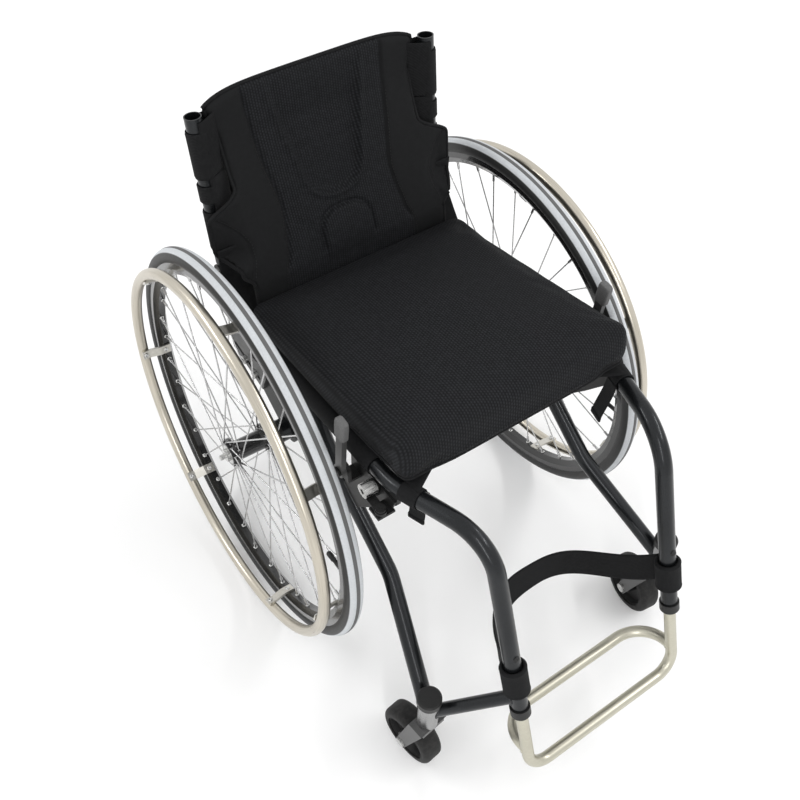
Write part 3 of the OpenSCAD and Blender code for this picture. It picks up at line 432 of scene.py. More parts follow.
black_alloy = Finish("black_alloy", metallic=0.35, coat_weight=0.5, coat_roughness=0.06)
black_alloy.mottle(black_alloy.noise(30, 3), grey(0.010), grey(0.022), 0.16, 0.14)
black_alloy.bump(black_alloy.noise(600), 0.00003, 0.4)
dress(black_alloy, *sided("rim", "hub"))
spoke_steel = Finish("spoke_steel", metallic=1.0)
spoke_steel.mottle(spoke_steel.noise(90, 2), grey(0.42), grey(0.62), 0.2, 0.12)
dress(spoke_steel, *sided("spokes"))

# Tyres: light grey tread bands with a dark wear stripe between them, on black sidewalls.
# Two fine grooves edge the stripe, and the bead is held in the rim.
tyre_r, tyre_w, lip_r, bead_r, bead_half = 0.295, 0.025, 0.27605, 0.27005, 0.00795
stripe_half, band_edge, groove, groove_w = 0.0024, 0.0098, 0.0005, 0.0005
wide_blur, fine_blur = 0.0006, 0.0004
rib_slant, rib_step = 30, 2 * math.pi / 620
profile_steps, tyre_steps = 72, 220
tread_rubber = Finish("tread_rubber")
offset, angle = wheel_place(tread_rubber)
across = abs(offset)
wear = tread_rubber.noise(420, 4)
past_band = across.step(band_edge - fine_blur, band_edge + wide_blur)
bands = across.step(stripe_half, stripe_half + wide_blur) * (1 - past_band)
sidewall = across.step(band_edge, band_edge + fine_blur)
dark = tread_rubber.blend(grey(0.13), grey(0.012), sidewall)
light = tread_rubber.blend(grey(0.58, (0.96, 1, 1.04)), grey(0.76, (0.97, 1, 1.03)), wear)
tread_rubber.feed(base_color=tread_rubber.blend(dark, light, bands),
                  roughness=0.62 + wear * 0.2 - sidewall * 0.2)
ribs = (angle + offset * rib_slant).wave(rib_step) * (angle - offset * rib_slant).wave(rib_step)
tread_rubber.bump(ribs * (1 - sidewall) + wear * 0.6, 0.00018, 0.7)

spread = math.acos((lip_r - (tyre_r - tyre_w / 2)) / (tyre_w / 2))
profile = [(-bead_half, bead_r), (-bead_half, lip_r)]
for i in range(profile_steps + 1):
    a = spread * (2 * i / profile_steps - 1)
    w = tyre_w / 2 * math.sin(a)
    cut = groove * math.exp(-((abs(w) - stripe_half) / groove_w) ** 2)
    profile.append((w, tyre_r - tyre_w / 2 + (tyre_w / 2 - cut) * math.cos(a)))
profile += [(bead_half, lip_r), (bead_half, bead_r)]


def loft(rings, joined=False):
    """Faces over rings of equal point counts: a tube with capped ends, or a closed ring of rings."""
    count, n = len(rings), len(rings[0])
    faces = []
    for k in range(count if joined else count - 1):
        here, there = k * n, (k + 1) % count * n
        faces += [(here + i, here + (i + 1) % n, there + (i + 1) % n, there + i) for i in range(n)]
    if not joined:
        faces += [tuple(range(n))[::-1], tuple((count - 1) * n + i for i in range(n))]
    return [p for ring in rings for p in ring], faces


def revolved(profile, turns):
    """Rings round the left wheel's axle from (offset, radius) points."""
    return [[wheel_matrix @ Vector((r * math.cos(t), r * math.sin(t), w)) for w, r in profile]
            for t in (2 * math.pi * k / turns for k in range(turns))]


tread_tyre = mesh_of("tread_tyre", *loft(revolved(profile, tyre_steps), joined=True), turn_out=True)
for side, tyre in show_both(tread_tyre, tread_rubber, "{}_wheel").items():
    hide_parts(side + "_tyre")

# Hand rims: drawn tube with a brushed, warm champagne anodising, on bent tabs screwed to the wheel's rim.
# Fine brush lines run along the tube.
champagne = Finish("champagne_anodised", metallic=1.0)
offset, angle = wheel_place(champagne)
brush_place = champagne.node("ShaderNodeCombineXYZ", {}, {"X": angle * 0.4, "Y": offset * 90})
lines = champagne.node("ShaderNodeTexNoise", {"noise_dimensions": "2D"},
                       {"Vector": brush_place, "Scale": 12.0, "Detail": 4.0})
champagne.mottle(lines, grey(0.38, (1, 0.91, 0.74)), grey(0.72, (1, 0.94, 0.82)), 0.24, 0.12,
                 lines * 0.6 + champagne.noise(9, 2) * 0.4)
champagne.bump(lines, 0.00002, 0.2)
dress(champagne, *sided("handrim"))
tab_alloy = Finish("tab_alloy", metallic=1.0)
tab_alloy.mottle(tab_alloy.noise(300, 3), grey(0.50, (1, 0.96, 0.86)), grey(0.70, (1, 0.98, 0.92)),
                 0.28, 0.15)
dress(tab_alloy, *sided("handrim_tabs"))

# Wheel fittings: bright eyelets round the spoke holes, the screws of the hand rim's tabs, and a tyre valve.
# Each ring of fittings is one turned shape, repeated round the axle by a Geometry Nodes tree.
ring_of = Maker("ring_of", Count="Int", Start="Float", Step="Float")
spots = ring_of.node("GeometryNodePoints", {}, {"Count": ring_of["Count"]})
spin = ring_of.node("ShaderNodeCombineXYZ", {}, {
    "Z": ring_of.node("GeometryNodeInputIndex") * ring_of["Step"] + ring_of["Start"]})
ring_of.end(ring_of.node("GeometryNodeInstanceOnPoints", {}, {
    "Points": spots, "Instance": ring_of["Geometry"], "Rotation": spin}))


def turned(profile, origin, axis, sides=20):
    """A closed shape turned round an axis, from (distance along it, radius) points."""
    origin, axis = Vector(origin), Vector(axis).normalized()
    return loft([circle(origin + axis * a, axis, r, sides) for a, r in profile])


def ring_piece(name, profile, spot, count, start, step):
    """Bright turned fittings that face the hub, set round both rear wheels. The angles are in degrees."""
    shape = mesh_of(name, *turned(profile, spot, (-1, 0, 0)))
    ring = ring_of.run(name, shape, zinc, Count=count, Start=math.radians(start), Step=math.radians(step))
    ring.transform(wheel_matrix)
    show_both(ring, zinc, "{}_wheel")


bed_r, spoke_offset = 0.25805, 0.0015
rim_screw_spot, handrim_screw_spot = (bed_r - 0.003, 0, 0.004), (0.2588, 0, 0.0348)
eyelet = [(-0.0004, 0.0034), (0.0006, 0.0034), (0.0011, 0.0029), (0.0012, 0.0022)]
screw = [(-0.0005, 0.0036), (0.0010, 0.0036), (0.0018, 0.0031), (0.0022, 0.0021), (0.0021, 0.0018),
         (0.0011, 0.0017)]
ring_piece("outer_eyelets", eyelet, (bed_r, 0, spoke_offset), 18, 0, 20)
ring_piece("inner_eyelets", eyelet, (bed_r, 0, -spoke_offset), 18, 10, 20)
ring_piece("rim_screws", screw, rim_screw_spot, 7, 35, 50)
ring_piece("handrim_screws", screw, handrim_screw_spot, 7, 35, 50)
plastic = Finish("moulded_black", specular_ior_level=0.3)
pores = plastic.noise(1400, 2)
plastic.mottle(pores, grey(0.009), grey(0.019), 0.36, 0.2)
plastic.bump(pores, 0.00008, 0.5)
valve_angle = math.radians(265)
valve_out = Vector((math.cos(valve_angle), math.sin(valve_angle), 0))
stem = [(-0.001, 0.0046), (0.0012, 0.0046), (0.0018, 0.0030), (0.021, 0.0030), (0.0212, 0.0038),
        (0.033, 0.0038), (0.0345, 0.0030), (0.035, 0.0018)]
valve = mesh_of("tyre_valve", *turned(stem, valve_out * bed_r, -valve_out))
valve.transform(wheel_matrix)
show_both(valve, plastic, "{}_wheel")

# Casters: solid black rubber tyres on black cores, in grey cast forks that swivel in turned alloy housings.
# A black push-in cap closes each housing, and a bright axle goes through the fork.
cast_alloy = Finish("cast_alloy", metallic=0.8)
grain = cast_alloy.noise(800, 3)
cast_alloy.mottle(grain, grey(0.08), grey(0.16), 0.34, 0.2)
cast_alloy.bump(grain, 0.00012, 0.5)
dress(cast_alloy, *sided("caster_fork"))
turned_alloy = Finish("turned_alloy", metallic=1.0)
rings = turned_alloy.noise(60, 3, (0.2, 0.2, 40))
turned_alloy.mottle(rings, grey(0.22), grey(0.38), 0.2, 0.16)
turned_alloy.bump(rings, 0.00004, 0.4)
dress(turned_alloy, "caster_housings")
dress(plastic, "caster_caps", "leg_collars", *sided("caster_core"))
dress(zinc, *sided("caster_axle"))
caster_rubber = Finish("caster_rubber", specular_ior_level=0.25)
dust = caster_rubber.noise(160, 4)
caster_rubber.mottle(dust, grey(0.010), grey(0.024, (1.03, 1, 0.97)), 0.5, 0.25, dust.step(0.35, 0.75))
caster_rubber.bump(caster_rubber.noise(900, 2), 0.0001, 0.5)
dress(caster_rubber, *sided("caster_tyre"))

# Footrest: one bent tube with a rear loop welded across it. It slides in the legs, through black collars.
# It has the hand rims' warm brushed anodising, and a sprung button locks it through each leg.
foot_r, foot_drop, foot_bead, button_drop = 0.008, 0.358, 0.0014, 0.179
footrest_alloy = Finish("footrest_alloy", metallic=1.0)
brushed = footrest_alloy.noise(700, 3, (0.03, 1, 1))
footrest_alloy.mottle(brushed, grey(0.40, (1, 0.95, 0.77)), grey(0.64, (1, 0.97, 0.82)), 0.27, 0.16,
                      brushed * 0.6 + footrest_alloy.noise(14, 2) * 0.4)
footrest_alloy.bump(brushed, 0.00003, 0.4)
dress(footrest_alloy, "footrest_frame")
foot_weld = knee + leg_dir * foot_drop
weld("footrest_weld", seam(foot_weld, leg_back, foot_r, foot_weld, leg_dir, foot_r), footrest_alloy,
     "footrest", foot_bead)
button = [(-0.001, 0.0042), (0.0004, 0.0042), (0.0008, 0.0034), (0.0020, 0.0030), (0.0027, 0.0021),
          (0.0029, 0.0008)]
button_spot = knee + leg_dir * button_drop - leg_back * tube_r
snap = mesh_of("leg_snap_button", *turned(button, button_spot, -leg_back))
show_both(snap, plastic, "frame")

# Brakes: grey levers pull the shoes against the tyres. Each lever ends in a soft grip with rounded edges.
# The shoe is a plated roller with a socket screw, on a black arm.
lever_pivot = Vector((rail_x + 0.029, axle_y - 0.205, 0.446))
lever_lean = math.radians(5)
lever_up = Vector((0, -math.sin(lever_lean), math.cos(lever_lean)))
lever_side = Vector((0, math.cos(lever_lean), math.sin(lever_lean)))
grip_half_x, grip_half_y, grip_sides = 0.0055, 0.0095, 32
grip_rubber = Finish("grip_rubber")
skin = grip_rubber.noise(1100, 3)
grip_rubber.mottle(skin, grey(0.075), grey(0.13), 0.5, 0.2, skin.step(0.3, 0.8))
grip_rubber.bump(skin, 0.00012, 0.6)
grip_rings = []
for d, share in ((0.0708, 0.55), (0.0713, 0.86), (0.0728, 0.98), (0.080, 1.0), (0.090, 1.02), (0.097, 1.0),
                 (0.1008, 0.94), (0.1024, 0.82), (0.1030, 0.55)):
    ring = []
    for t in (2 * math.pi * k / grip_sides for k in range(grip_sides)):
        across = math.copysign(abs(math.cos(t)) ** 0.5, math.cos(t)) * grip_half_x * share
        along = math.copysign(abs(math.sin(t)) ** 0.5, math.sin(t)) * grip_half_y * share
        ring.append(lever_pivot + lever_up * d + Vector((across, 0, 0)) + lever_side * along)
    grip_rings.append(ring)
grip = mesh_of("moulded_grip", *loft(grip_rings), turn_out=True)
for side, shown in show_both(grip, grip_rubber, "{}_lever").items():
    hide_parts(side + "_brake_grip")

# Seat sling: woven black cloth drawn tight over the rails and turned back under them. The cushion lies on it.
# Slots in its turned edges leave room for the brackets.
cloth = Finish("black_webbing", specular_ior_level=0.15)
weave = 0.0016
rows = cloth.along((1, 0, 0)).wave(weave) * cloth.along((0, 1, 0.3)).wave(weave)
lint = cloth.noise(240, 4)
cloth.mottle(lint, grey(0.0055, (0.98, 1, 1.08)), grey(0.015, (0.98, 1, 1.06)), 0.7, 0.2,
             (rows * 0.25 + lint * 0.8).step(0.1, 0.8))
cloth.bump(rows + lint * 0.8, 0.00022, 0.6)
sling_r, sling_t, sling_near, sling_far, row_gap = 0.0123, 0.002, 0.064, 0.352, 0.008
turned_under = (0.030, 0.024, 0.018, 0.014, 0.012, 0.006, 0.004)
half_section = [(rail_x - d, -sling_r) for d in turned_under]
half_section += [(rail_x + sling_r * math.cos(t), sling_r * math.sin(t))
                 for t in (math.radians(-90 + 180 * k / 19) for k in range(20))]
section = half_section + [(rail_x - 2 * rail_x * k / 42, sling_r) for k in range(1, 42)]
section += [(-x, z) for x, z in half_section[::-1]]
# (start, end, half width) of each slot under a rail
slots = ((0.063, 0.098, 0.004), (0.163, 0.213, 0.014), (0.288, 0.353, 0.004))
slot_ends = [end for slot in slots for end in slot[:2] if sling_near < end < sling_far]
row_count = round((sling_far - sling_near) / row_gap)
rows_at = [sling_near + row_gap * k for k in range(1, row_count)]
rows_at = sorted({round(d, 4) for d in (sling_near, sling_far, *slot_ends, *rows_at)})
points = [seat_matrix @ Vector((x, -d, z)) for d in rows_at for x, z in section]
faces = []
for r in range(len(rows_at) - 1):
    d = (rows_at[r] + rows_at[r + 1]) / 2
    for c in range(len(section) - 1):
        x = abs(section[c][0] + section[c + 1][0]) / 2
        z = (section[c][1] + section[c + 1][1]) / 2
        if not any(a < d < b and abs(x - rail_x) < half and z < 0 for a, b, half in slots):
            base = r * len(section) + c
            faces.append((base, base + 1, base + 1 + len(section), base + len(section)))


def thickened(mesh, thick):
    """The mesh given a thickness on both sides of its surface."""
    holder = make_object(mesh.name, mesh)
    modifier = holder.modifiers.new("thickness", "SOLIDIFY")
    modifier.thickness, modifier.offset = thick, 0
    return finished(holder, mesh.name)


sling_mesh = thickened(mesh_of("woven_sling", points, faces), sling_t)
sling = show(sling_mesh, cloth, "frame")
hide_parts("seat_sling")

# Seat cushion: a wedge of foam in a fitted cover, with ribbed spacer mesh over it and plain cloth under it.
# A cloth simulation blows up a formula shape, and so softens its edges. Piping runs round its base.
cushion_w, cushion_l, cushion_rear, cushion_base, corner = 0.346, 0.364, 0.054, 0.0137, 0.018
rear_t, front_t, crown, rear_bulge = 0.034, 0.068, 0.007, 0.005
swell, rear_edge = 0.0045, -cushion_rear - 0.016


def cushion_ring(inset, share, rise, per=16):
    """One level of the cushion in the seat's frame: drawn in, at a share of its height plus a rise."""
    ring = []
    c = max(corner - inset, 0.004)
    for q, (sx, sy) in enumerate(((1, 1), (-1, 1), (-1, -1), (1, -1))):
        for i in range(per):
            a = math.radians(90 * q + 90 * i / (per - 1))
            x = sx * (cushion_w / 2 - inset - c) + c * math.cos(a)
            y = sy * (cushion_l / 2 - inset - c) + c * math.sin(a)
            thick = rear_t + (front_t - rear_t) * (0.5 - y / cushion_l)
            bulge = rear_bulge * (1 - (2 * x / cushion_w) ** 2) if y > 0 else 0
            y += bulge - cushion_rear - cushion_l / 2
            ring.append(Vector((x, y, cushion_base + share * thick + rise)))
    return ring


def smooth(value, low, high):
    """0 below low, 1 above high, smooth between."""
    t = np.clip((np.asarray(value, float) - low) / (high - low), 0, 1)
    return t * t * (3 - 2 * t)


def read(rows, key="co"):
    """The places of vertices, or with the key vector their normals, as an array."""
    values = np.empty(len(rows) * 3)
    rows.foreach_get(key, values)
    return values.reshape(-1, 3)


def inflated(mesh, voxel, held, cap, last_frame=20):
    """Remeshes a closed shape and blows it up as cloth. Held points stay, and the others move up to a cap."""
    holder = make_object(mesh.name, mesh)
    remesh = holder.modifiers.new("even_faces", "REMESH")
    remesh.mode, remesh.voxel_size = "VOXEL", voxel
    base = evaluated(holder)
    holder.modifiers.clear()
    holder.data = base
    start, normals = read(base.vertices), read(base.vertex_normals, "vector")
    pins = holder.vertex_groups.new(name="pins")
    pins.add([int(i) for i in np.nonzero(held(start, normals))[0]], 1.0, "REPLACE")
    blown_up = holder.modifiers.new("blown_up", "CLOTH")
    settings = blown_up.settings
    settings.quality, settings.mass, settings.vertex_group_mass = 4, 0.25, "pins"
    settings.tension_stiffness = settings.compression_stiffness = 18
    settings.shear_stiffness, settings.bending_stiffness = 8, 1.5
    settings.use_pressure, settings.uniform_pressure_force = True, 4.0
    settings.effector_weights.gravity = 0
    blown_up.point_cache.frame_start, blown_up.point_cache.frame_end = 1, last_frame
    for frame_number in range(1, last_frame + 1):
        scene.frame_set(frame_number)
    moved = read(evaluated(holder).vertices) - start
    holder.modifiers.clear()
    scene.frame_set(1)
    length = np.linalg.norm(moved, axis=1)
    limit = cap(start, normals)
    moved *= (limit / np.maximum(length, limit + 1e-9))[:, None]
    base.vertices.foreach_set("co", (start + moved).ravel())
    finer = holder.modifiers.new("finer", "SUBSURF")
    finer.levels = finer.render_levels = 1
    return finished(holder, mesh.name)


def add_attribute(mesh, name, values):
    mesh.attributes.new(name, "FLOAT", "POINT").data.foreach_set("value", np.asarray(values, float))


def tree_of(mesh, spots):
    """A search tree over a mesh whose points are at spots."""
    return BVHTree.FromPolygons([Vector(p) for p in spots], [tuple(f.vertices) for f in mesh.polygons])


def cushion_held(p, n):
    """Points of the cushion's base and of its rear side."""
    return (p[:, 2] < cushion_base + 0.004) | ((p[:, 1] > rear_edge) & (n[:, 2] < 0.5))


def cushion_cap(p, n):
    """How far the cushion swells: most in front and above, and not at the base or the rear."""
    above = smooth(p[:, 2], cushion_base + 0.003, cushion_base + 0.02)
    return swell * above * smooth(-p[:, 1], -rear_edge, 0.11)


# (inset, share of the height, rise) of each level, from the base to the crown
levels = [(0.020, 0, 0), (0.014, 0, 0.0015), (0.006, 0.16, 0), (0.001, 0.36, 0), (0, 0.6, 0),
          (0.002, 0.82, 0), (0.007, 0.94, 0), (0.016, 1, 0), (0.040, 1, 0.5 * crown),
          (0.075, 1, 0.8 * crown), (0.120, 1, crown), (0.160, 1, 1.05 * crown)]
wedge = mesh_of("mesh_cushion", *loft([cushion_ring(*level) for level in levels]), turn_out=True)
cushion_mesh = inflated(wedge, 0.005, cushion_held, cushion_cap)
spots = read(cushion_mesh.vertices)
spots[:, 2] = np.maximum(spots[:, 2], cushion_base)
cushion_mesh.vertices.foreach_set("co", spots.ravel())
normals = read(cushion_mesh.vertex_normals, "vector")
add_attribute(cushion_mesh, "top", smooth(normals[:, 2], -0.3, -0.2))
cushion_tree = tree_of(cushion_mesh, spots)


def knitted(name, across, along, panel):
    """Black spacer mesh where the panel attribute is 1, and plain knitted cloth where it is 0."""
    rib, loop = 0.0036, 0.0011
    look = Finish(name, specular_ior_level=0.16)
    side, up = look.along(across), look.along(along)
    ribs = side.wave(rib) * 0.6 + up.wave(rib) * (side * 0.5).wave(rib) * 0.6
    knit = (side + up * 0.5).wave(loop) * (side - up * 0.5).wave(loop)
    lint = look.noise(200, 4)
    share = look.attribute(panel)
    mesh_tone = look.blend(grey(0.0044, (0.92, 0.98, 1.16)), grey(0.0195, (0.95, 1, 1.12)),
                           (ribs * 0.35 + lint * 0.7).step(0.05, 0.85))
    plain_tone = look.blend(grey(0.0066, (0.97, 1, 1.08)), grey(0.0125, (0.97, 1, 1.06)),
                            (knit * 0.3 + lint * 0.8).step(0.1, 0.8))
    look.mottle(lint, plain_tone, mesh_tone, 0.72, 0.16, share)
    look.bump(ribs * share + knit * (1 - share) * 0.35 + lint * 0.5, 0.0005, 0.55)
    return look


seat_along = seat_matrix.to_3x3() @ Vector((0, 0.8, 0.6))
cushion_cloth = knitted("cushion_cloth", (1, 0, 0), tuple(seat_along), "top")


def headings(path, closed=False):
    """The direction of a path at each of its points."""
    ahead = path[1:] + (path[:1] if closed else path[-1:])
    behind = (path[-1:] if closed else path[:1]) + path[:-1]
    return [(a - b).normalized() for a, b in zip(ahead, behind)]


def swept(path, radius, sides=10):
    """A round cord along a closed path."""
    rings = []
    for p, along in zip(path, headings(path, closed=True)):
        side = along.cross(Vector((0.31, 0.23, 0.92))).normalized()
        rings.append(circle(p, along, radius, sides, side))
    return loft(rings, joined=True)


def spaced(path, gap, closed=False):
    """The same path with its points a gap apart."""
    line = np.array([tuple(p) for p in path] + ([tuple(path[0])] if closed else []))
    at = np.concatenate([[0], np.cumsum(np.linalg.norm(np.diff(line, axis=0), axis=1))])
    count = max(2, int(at[-1] / gap))
    marks = np.linspace(0, at[-1], count, endpoint=not closed)
    return [Vector(p) for p in np.stack([np.interp(marks, at, line[:, k]) for k in range(3)], axis=1)]


def on_cushion(inset, share, lift):
    """A closed line round the cushion's side at one level, lifted off its surface."""
    line = []
    for p in spaced(cushion_ring(inset, share, 0), 0.005, closed=True):
        spot, normal, _, _ = cushion_tree.find_nearest(p)
        line.append(spot + normal * lift)
    return line


def stitches(name, path, look, body, closed=False):
    made = beads_along.run(name, line_mesh(name, path, closed), look,
                           Spacing=0.0042, Size=(0.00042, 0.00042, 0.0015), Vary=0.08)
    return show(made, look, body)


thread = Finish("black_thread", roughness=0.55, specular_ior_level=0.2)
thread.feed(base_color=thread.blend(grey(0.007), grey(0.018), thread.noise(2500, 2)))
piping = mesh_of("cushion_piping", *swept(on_cushion(0.004, 0.10, 0.0006), 0.0019), turn_out=True)
piping.transform(seat_matrix)
show(piping, cloth, "frame")
hem = [seat_matrix @ p for p in on_cushion(0.002, 0.24, 0.0002)]
stitches("cushion_stitches", hem, thread, "frame", closed=True)
cushion_mesh.transform(seat_matrix)
cushion = show(cushion_mesh, cushion_cloth, "frame")
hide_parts("seat_cushion")

# Seat straps: webbing loops that hold the front of the sling to the rails, each with a loose end below it.
# The loose ends are heat-sealed, and a web of the sling's cloth runs forward to each loop.


def ribbon(path, wide, width, thick, closed=False, hem=0.0):
    """Webbing along a path, wide along one direction or along a list of them. A hem thickens both edges."""
    ways = wide if isinstance(wide, list) else [wide] * len(path)
    steps = (-1, -0.97, -0.9, -0.84, -0.4, 0, 0.4, 0.84, 0.9, 0.97, 1)
    shape = [(w, 1.0 if abs(w) < 0.97 else 0.45) for w in steps]
    shape = [(w, h * (1 + hem * (0.84 < abs(w) < 0.99))) for w, h in shape]
    section = shape + [(w, -h) for w, h in shape[::-1]]
    rings = []
    for p, along, way in zip(path, headings(path, closed), ways):
        out = along.cross(way).normalized()
        rings.append([p + way * (w * width / 2) + out * (h * thick / 2) for w, h in section])
    return loft(rings, joined=closed)


def merged(name, *shapes):
    """Several closed shapes as one mesh."""
    points, faces = [], []
    for more, over in shapes:
        faces += [tuple(i + len(points) for i in face) for face in over]
        points += more
    return mesh_of(name, points, faces, turn_out=True)


strap_w, strap_t, tail_w, tail_t, seal_w, seal_t = 0.0255, 0.0019, 0.0235, 0.0022, 0.0243, 0.0036
strap_reach, tail_in, tail_back, tail_fall = 0.030, 0.0135, 0.010, 0.074
web_t, web_lift, web_rows = 0.0016, 0.0128, 12
rail_front = (knee - turn_in).normalized()
strap_mid = turn_in + rail_front * strap_reach
tail = []
for t in (k / 24 for k in range(25)):
    tail.append(strap_mid + Vector((0.0016 * math.sin(5 * t) - tail_in, tail_back * t, -tail_fall * t)))
end_seal = [tail[-1] + upright * rise for rise in (-0.004, -0.0005, 0.0035)]
loop = circle(strap_mid, rail_front, sling_r)
seat_strap = merged("seat_strap", ribbon(loop, rail_front, strap_w, strap_t, closed=True, hem=0.15),
                    ribbon(tail, rail_front, tail_w, tail_t, hem=0.15),
                    ribbon(end_seal, rail_front, seal_w, seal_t))
for side, strap in show_both(seat_strap, cloth, "frame").items():
    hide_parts("seat_straps")
    side + "_side_tube"
web_rear, web_in = (seat_matrix @ Vector((x, y, web_lift)) for x, y in ((0.164, -0.350), (0.112, -0.396)))
web_front = strap_mid + rail_front * 0.011 + Vector((0.002, 0, 0.0130))
points, faces = [], []
for r in range(web_rows + 1):
    for c in range(r + 1):
        a, b = 1 - r / web_rows, (r - c) / web_rows
        points.append(web_rear * a + web_in * b + web_front * (1 - a - b))
        if r < web_rows:
            here, below = len(points) - 1, len(points) + r
            faces.append((here, below, below + 1))
            if c < r:
                faces.append((here, below + 1, here + 1))
sling_web = thickened(mesh_of("sling_web", points, faces), web_t)
for side, web in show_both(sling_web, cloth, "frame").items():
    side + "_side_tube"

# Calf strap: wide webbing that hangs in a bow between the legs, and turns round each leg in a sewn loop.
# Both edges are hemmed with a row of stitches.
band_drop, band_bow, band_sag, band_h, band_t = 0.222, 0.105, 0.055, 0.046, 0.003
loop_drop, loop_r, loop_h, loop_t, band_steps = 0.2212, 0.0114, 0.0444, 0.0056, 96
band_end = knee + leg_dir * band_drop + Vector((0, loop_r + band_t / 2, 0))
band, band_wide = [], []
for k in range(band_steps + 1):
    u = -1 + 2 * k / band_steps
    band.append(Vector((u * knee.x, band_end.y + band_bow * (1 - abs(u) ** 2.7),
                        band_end.z - band_sag * (1 - abs(u) ** 7))))
    lean = 0.10 * (1 - u * u) * math.sin(3.1 * u + 0.6)
    band_wide.append((leg_dir + Vector((0, lean, 0))).normalized())
loop_mid = knee + leg_dir * loop_drop
loops = []
for sign in (1, -1):
    ring = circle(Vector((sign * loop_mid.x, loop_mid.y, loop_mid.z)), leg_dir, loop_r + loop_t / 2)
    loops.append(ribbon(ring, leg_dir, loop_h, loop_t, closed=True, hem=0.12))
bow = ribbon(band, band_wide, band_h - 0.001, band_t - 0.0004, hem=0.2)
calf_strap = show(merged("calf_webbing", bow, *loops), cloth, "frame")
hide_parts("calf_strap")
for name, share in (("upper", -0.87), ("lower", 0.87)):
    row = []
    for p, along, wide in list(zip(band, headings(band), band_wide))[3:-3]:
        out = along.cross(wide).normalized()
        row.append(p + wide * (share * band_h / 2) + out * (band_t / 2 + 0.0001))
    stitches("calf_" + name + "_stitches", row, thread, "frame")

# Backrest cover: a padded panel of spacer mesh between plain side panels, held to the tubes by straps.
# It has a sunk channel and a raised patch in the middle. A cloth simulation swells it between its seams.
cover_low, cover_top, cover_half, cover_t, cover_steps = -0.045, 0.240, 0.185, 0.016, 121
foot_half, hip_half, neck_half, neck_flare, shoulder = 0.153, 0.165, 0.140, 0.012, 0.013
wing_front = 0.0137 + cover_t * (1 - 0.6 * (rail_x / cover_half) ** 4)


def cover_width(z):
    """Half the width of the cover at a height above the hinge."""
    hips = (hip_half - foot_half) * smooth(z, 0.002, 0.018)
    wings = (cover_half - hip_half) * smooth(z, 0.022, 0.048)
    neck = (neck_half - cover_half) * smooth(z, 0.090, 0.124)
    return foot_half + hips + wings + neck + neck_flare * smooth(z, 0.180, cover_top)


def cover_end(u):
    """Height of the cover's top edge, which drops at its shoulders."""
    return cover_top - shoulder * abs(u) ** 6


def to_cover_edge(u, z):
    """Distance from the cover's nearest edge, at a share of its half width and a height."""
    width = cover_width(z)
    return np.minimum(np.minimum(width - abs(u * width), z - cover_low), cover_end(u) - z)


def cover_front(x, z):
    """How far the cover's face stands in front of the tubes' plane."""
    rise = np.clip(1 - np.maximum(z, 0) / cover_top, 0, 1)
    bow = 0.006 + 0.006 * smooth(z, 0, 0.040) - 0.010 * smooth(z, 0.090, 0.200)
    side = -0.006 + 0.058 * rise ** 1.7 + bow * (x / foot_half) ** 2
    wing = smooth(abs(x), 0.128, 0.172) * smooth(z, 0.024, 0.046) * (1 - smooth(z, 0.100, 0.126))
    return side + (wing_front - side) * wing


def cover_points(u, z, face):
    """Points of the front (face 1), back (-1) or middle (0) of the cover, in the backrest's frame."""
    x = u * cover_width(z)
    thick = cover_t * (1 - (0.6 - 0.3 * smooth(z, 0.115, 0.140)) * abs(u) ** 4)
    to_edge = to_cover_edge(u, z)
    half = thick / 2
    inset = np.where(to_edge < half, half - np.sqrt(np.maximum(half ** 2 - (half - to_edge) ** 2, 0)), 0)
    return np.stack([x, half - cover_front(x, z) - face * (half - inset), z], axis=-1)


bunched = np.sin(np.linspace(-math.pi / 2, math.pi / 2, cover_steps))
columns = bunched * 0.35 + np.linspace(-1, 1, cover_steps) * 0.65
grid_u, grid_v = np.meshgrid(columns, np.linspace(0, 1, cover_steps))
grid_z = cover_low + grid_v * (cover_end(grid_u) - cover_low)
points, faces = [], []
for face in (1, -1):
    start, n = len(points), cover_steps
    points += list(cover_points(grid_u, grid_z, face).reshape(-1, 3))
    faces += [tuple(start + i for i in (r * n + c, r * n + c + 1, (r + 1) * n + c + 1, (r + 1) * n + c))
              for r in range(n - 1) for c in range(n - 1)]
cover_base = mesh_of("mesh_cover", points, faces, turn_out=True)

# (half width, height) along each seam of the cover's face
panel_seam = np.array([(0.104, -0.045), (0.100, 0.002), (0.093, 0.017), (0.086, 0.052), (0.083, 0.079),
                       (0.086, 0.101), (0.092, 0.136), (0.096, 0.172), (0.101, 0.240)])
channel = np.array([(0.0, 0.0755), (0.010, 0.076), (0.024, 0.080), (0.035, 0.090), (0.041, 0.105),
                    (0.046, 0.134), (0.054, 0.168), (0.061, 0.206), (0.067, 0.240)])
corner_seam = np.array([(0.176, 0.093), (0.167, 0.085), (0.152, 0.069), (0.144, 0.053), (0.145, 0.035),
                        (0.153, 0.013)])
seam_w, corner_seam_w = 0.0026, 0.0024
channel_depth, channel_lip, channel_crease = 0.0072, 0.0026, 0.0034
patch_half, patch_low, patch_high, patch_power = 0.040, 0.018, 0.056, 2.8
patch_lift, patch_crease, panel_crease, corner_crease = 0.0046, 0.0032, 0.0036, 0.0017


def from_line(x, z, line):
    """Distance of points from a seam."""
    best = np.full(x.shape, 9.0)
    for a, b in zip(line[:-1], line[1:]):
        step = b - a
        t = np.clip(((x - a[0]) * step[0] + (z - a[1]) * step[1]) / step.dot(step), 0, 1)
        best = np.minimum(best, np.hypot(x - a[0] - t * step[0], z - a[1] - t * step[1]))
    return best


def inside_panel(x, z):
    return np.interp(z, panel_seam[:, 1], panel_seam[:, 0]) - x


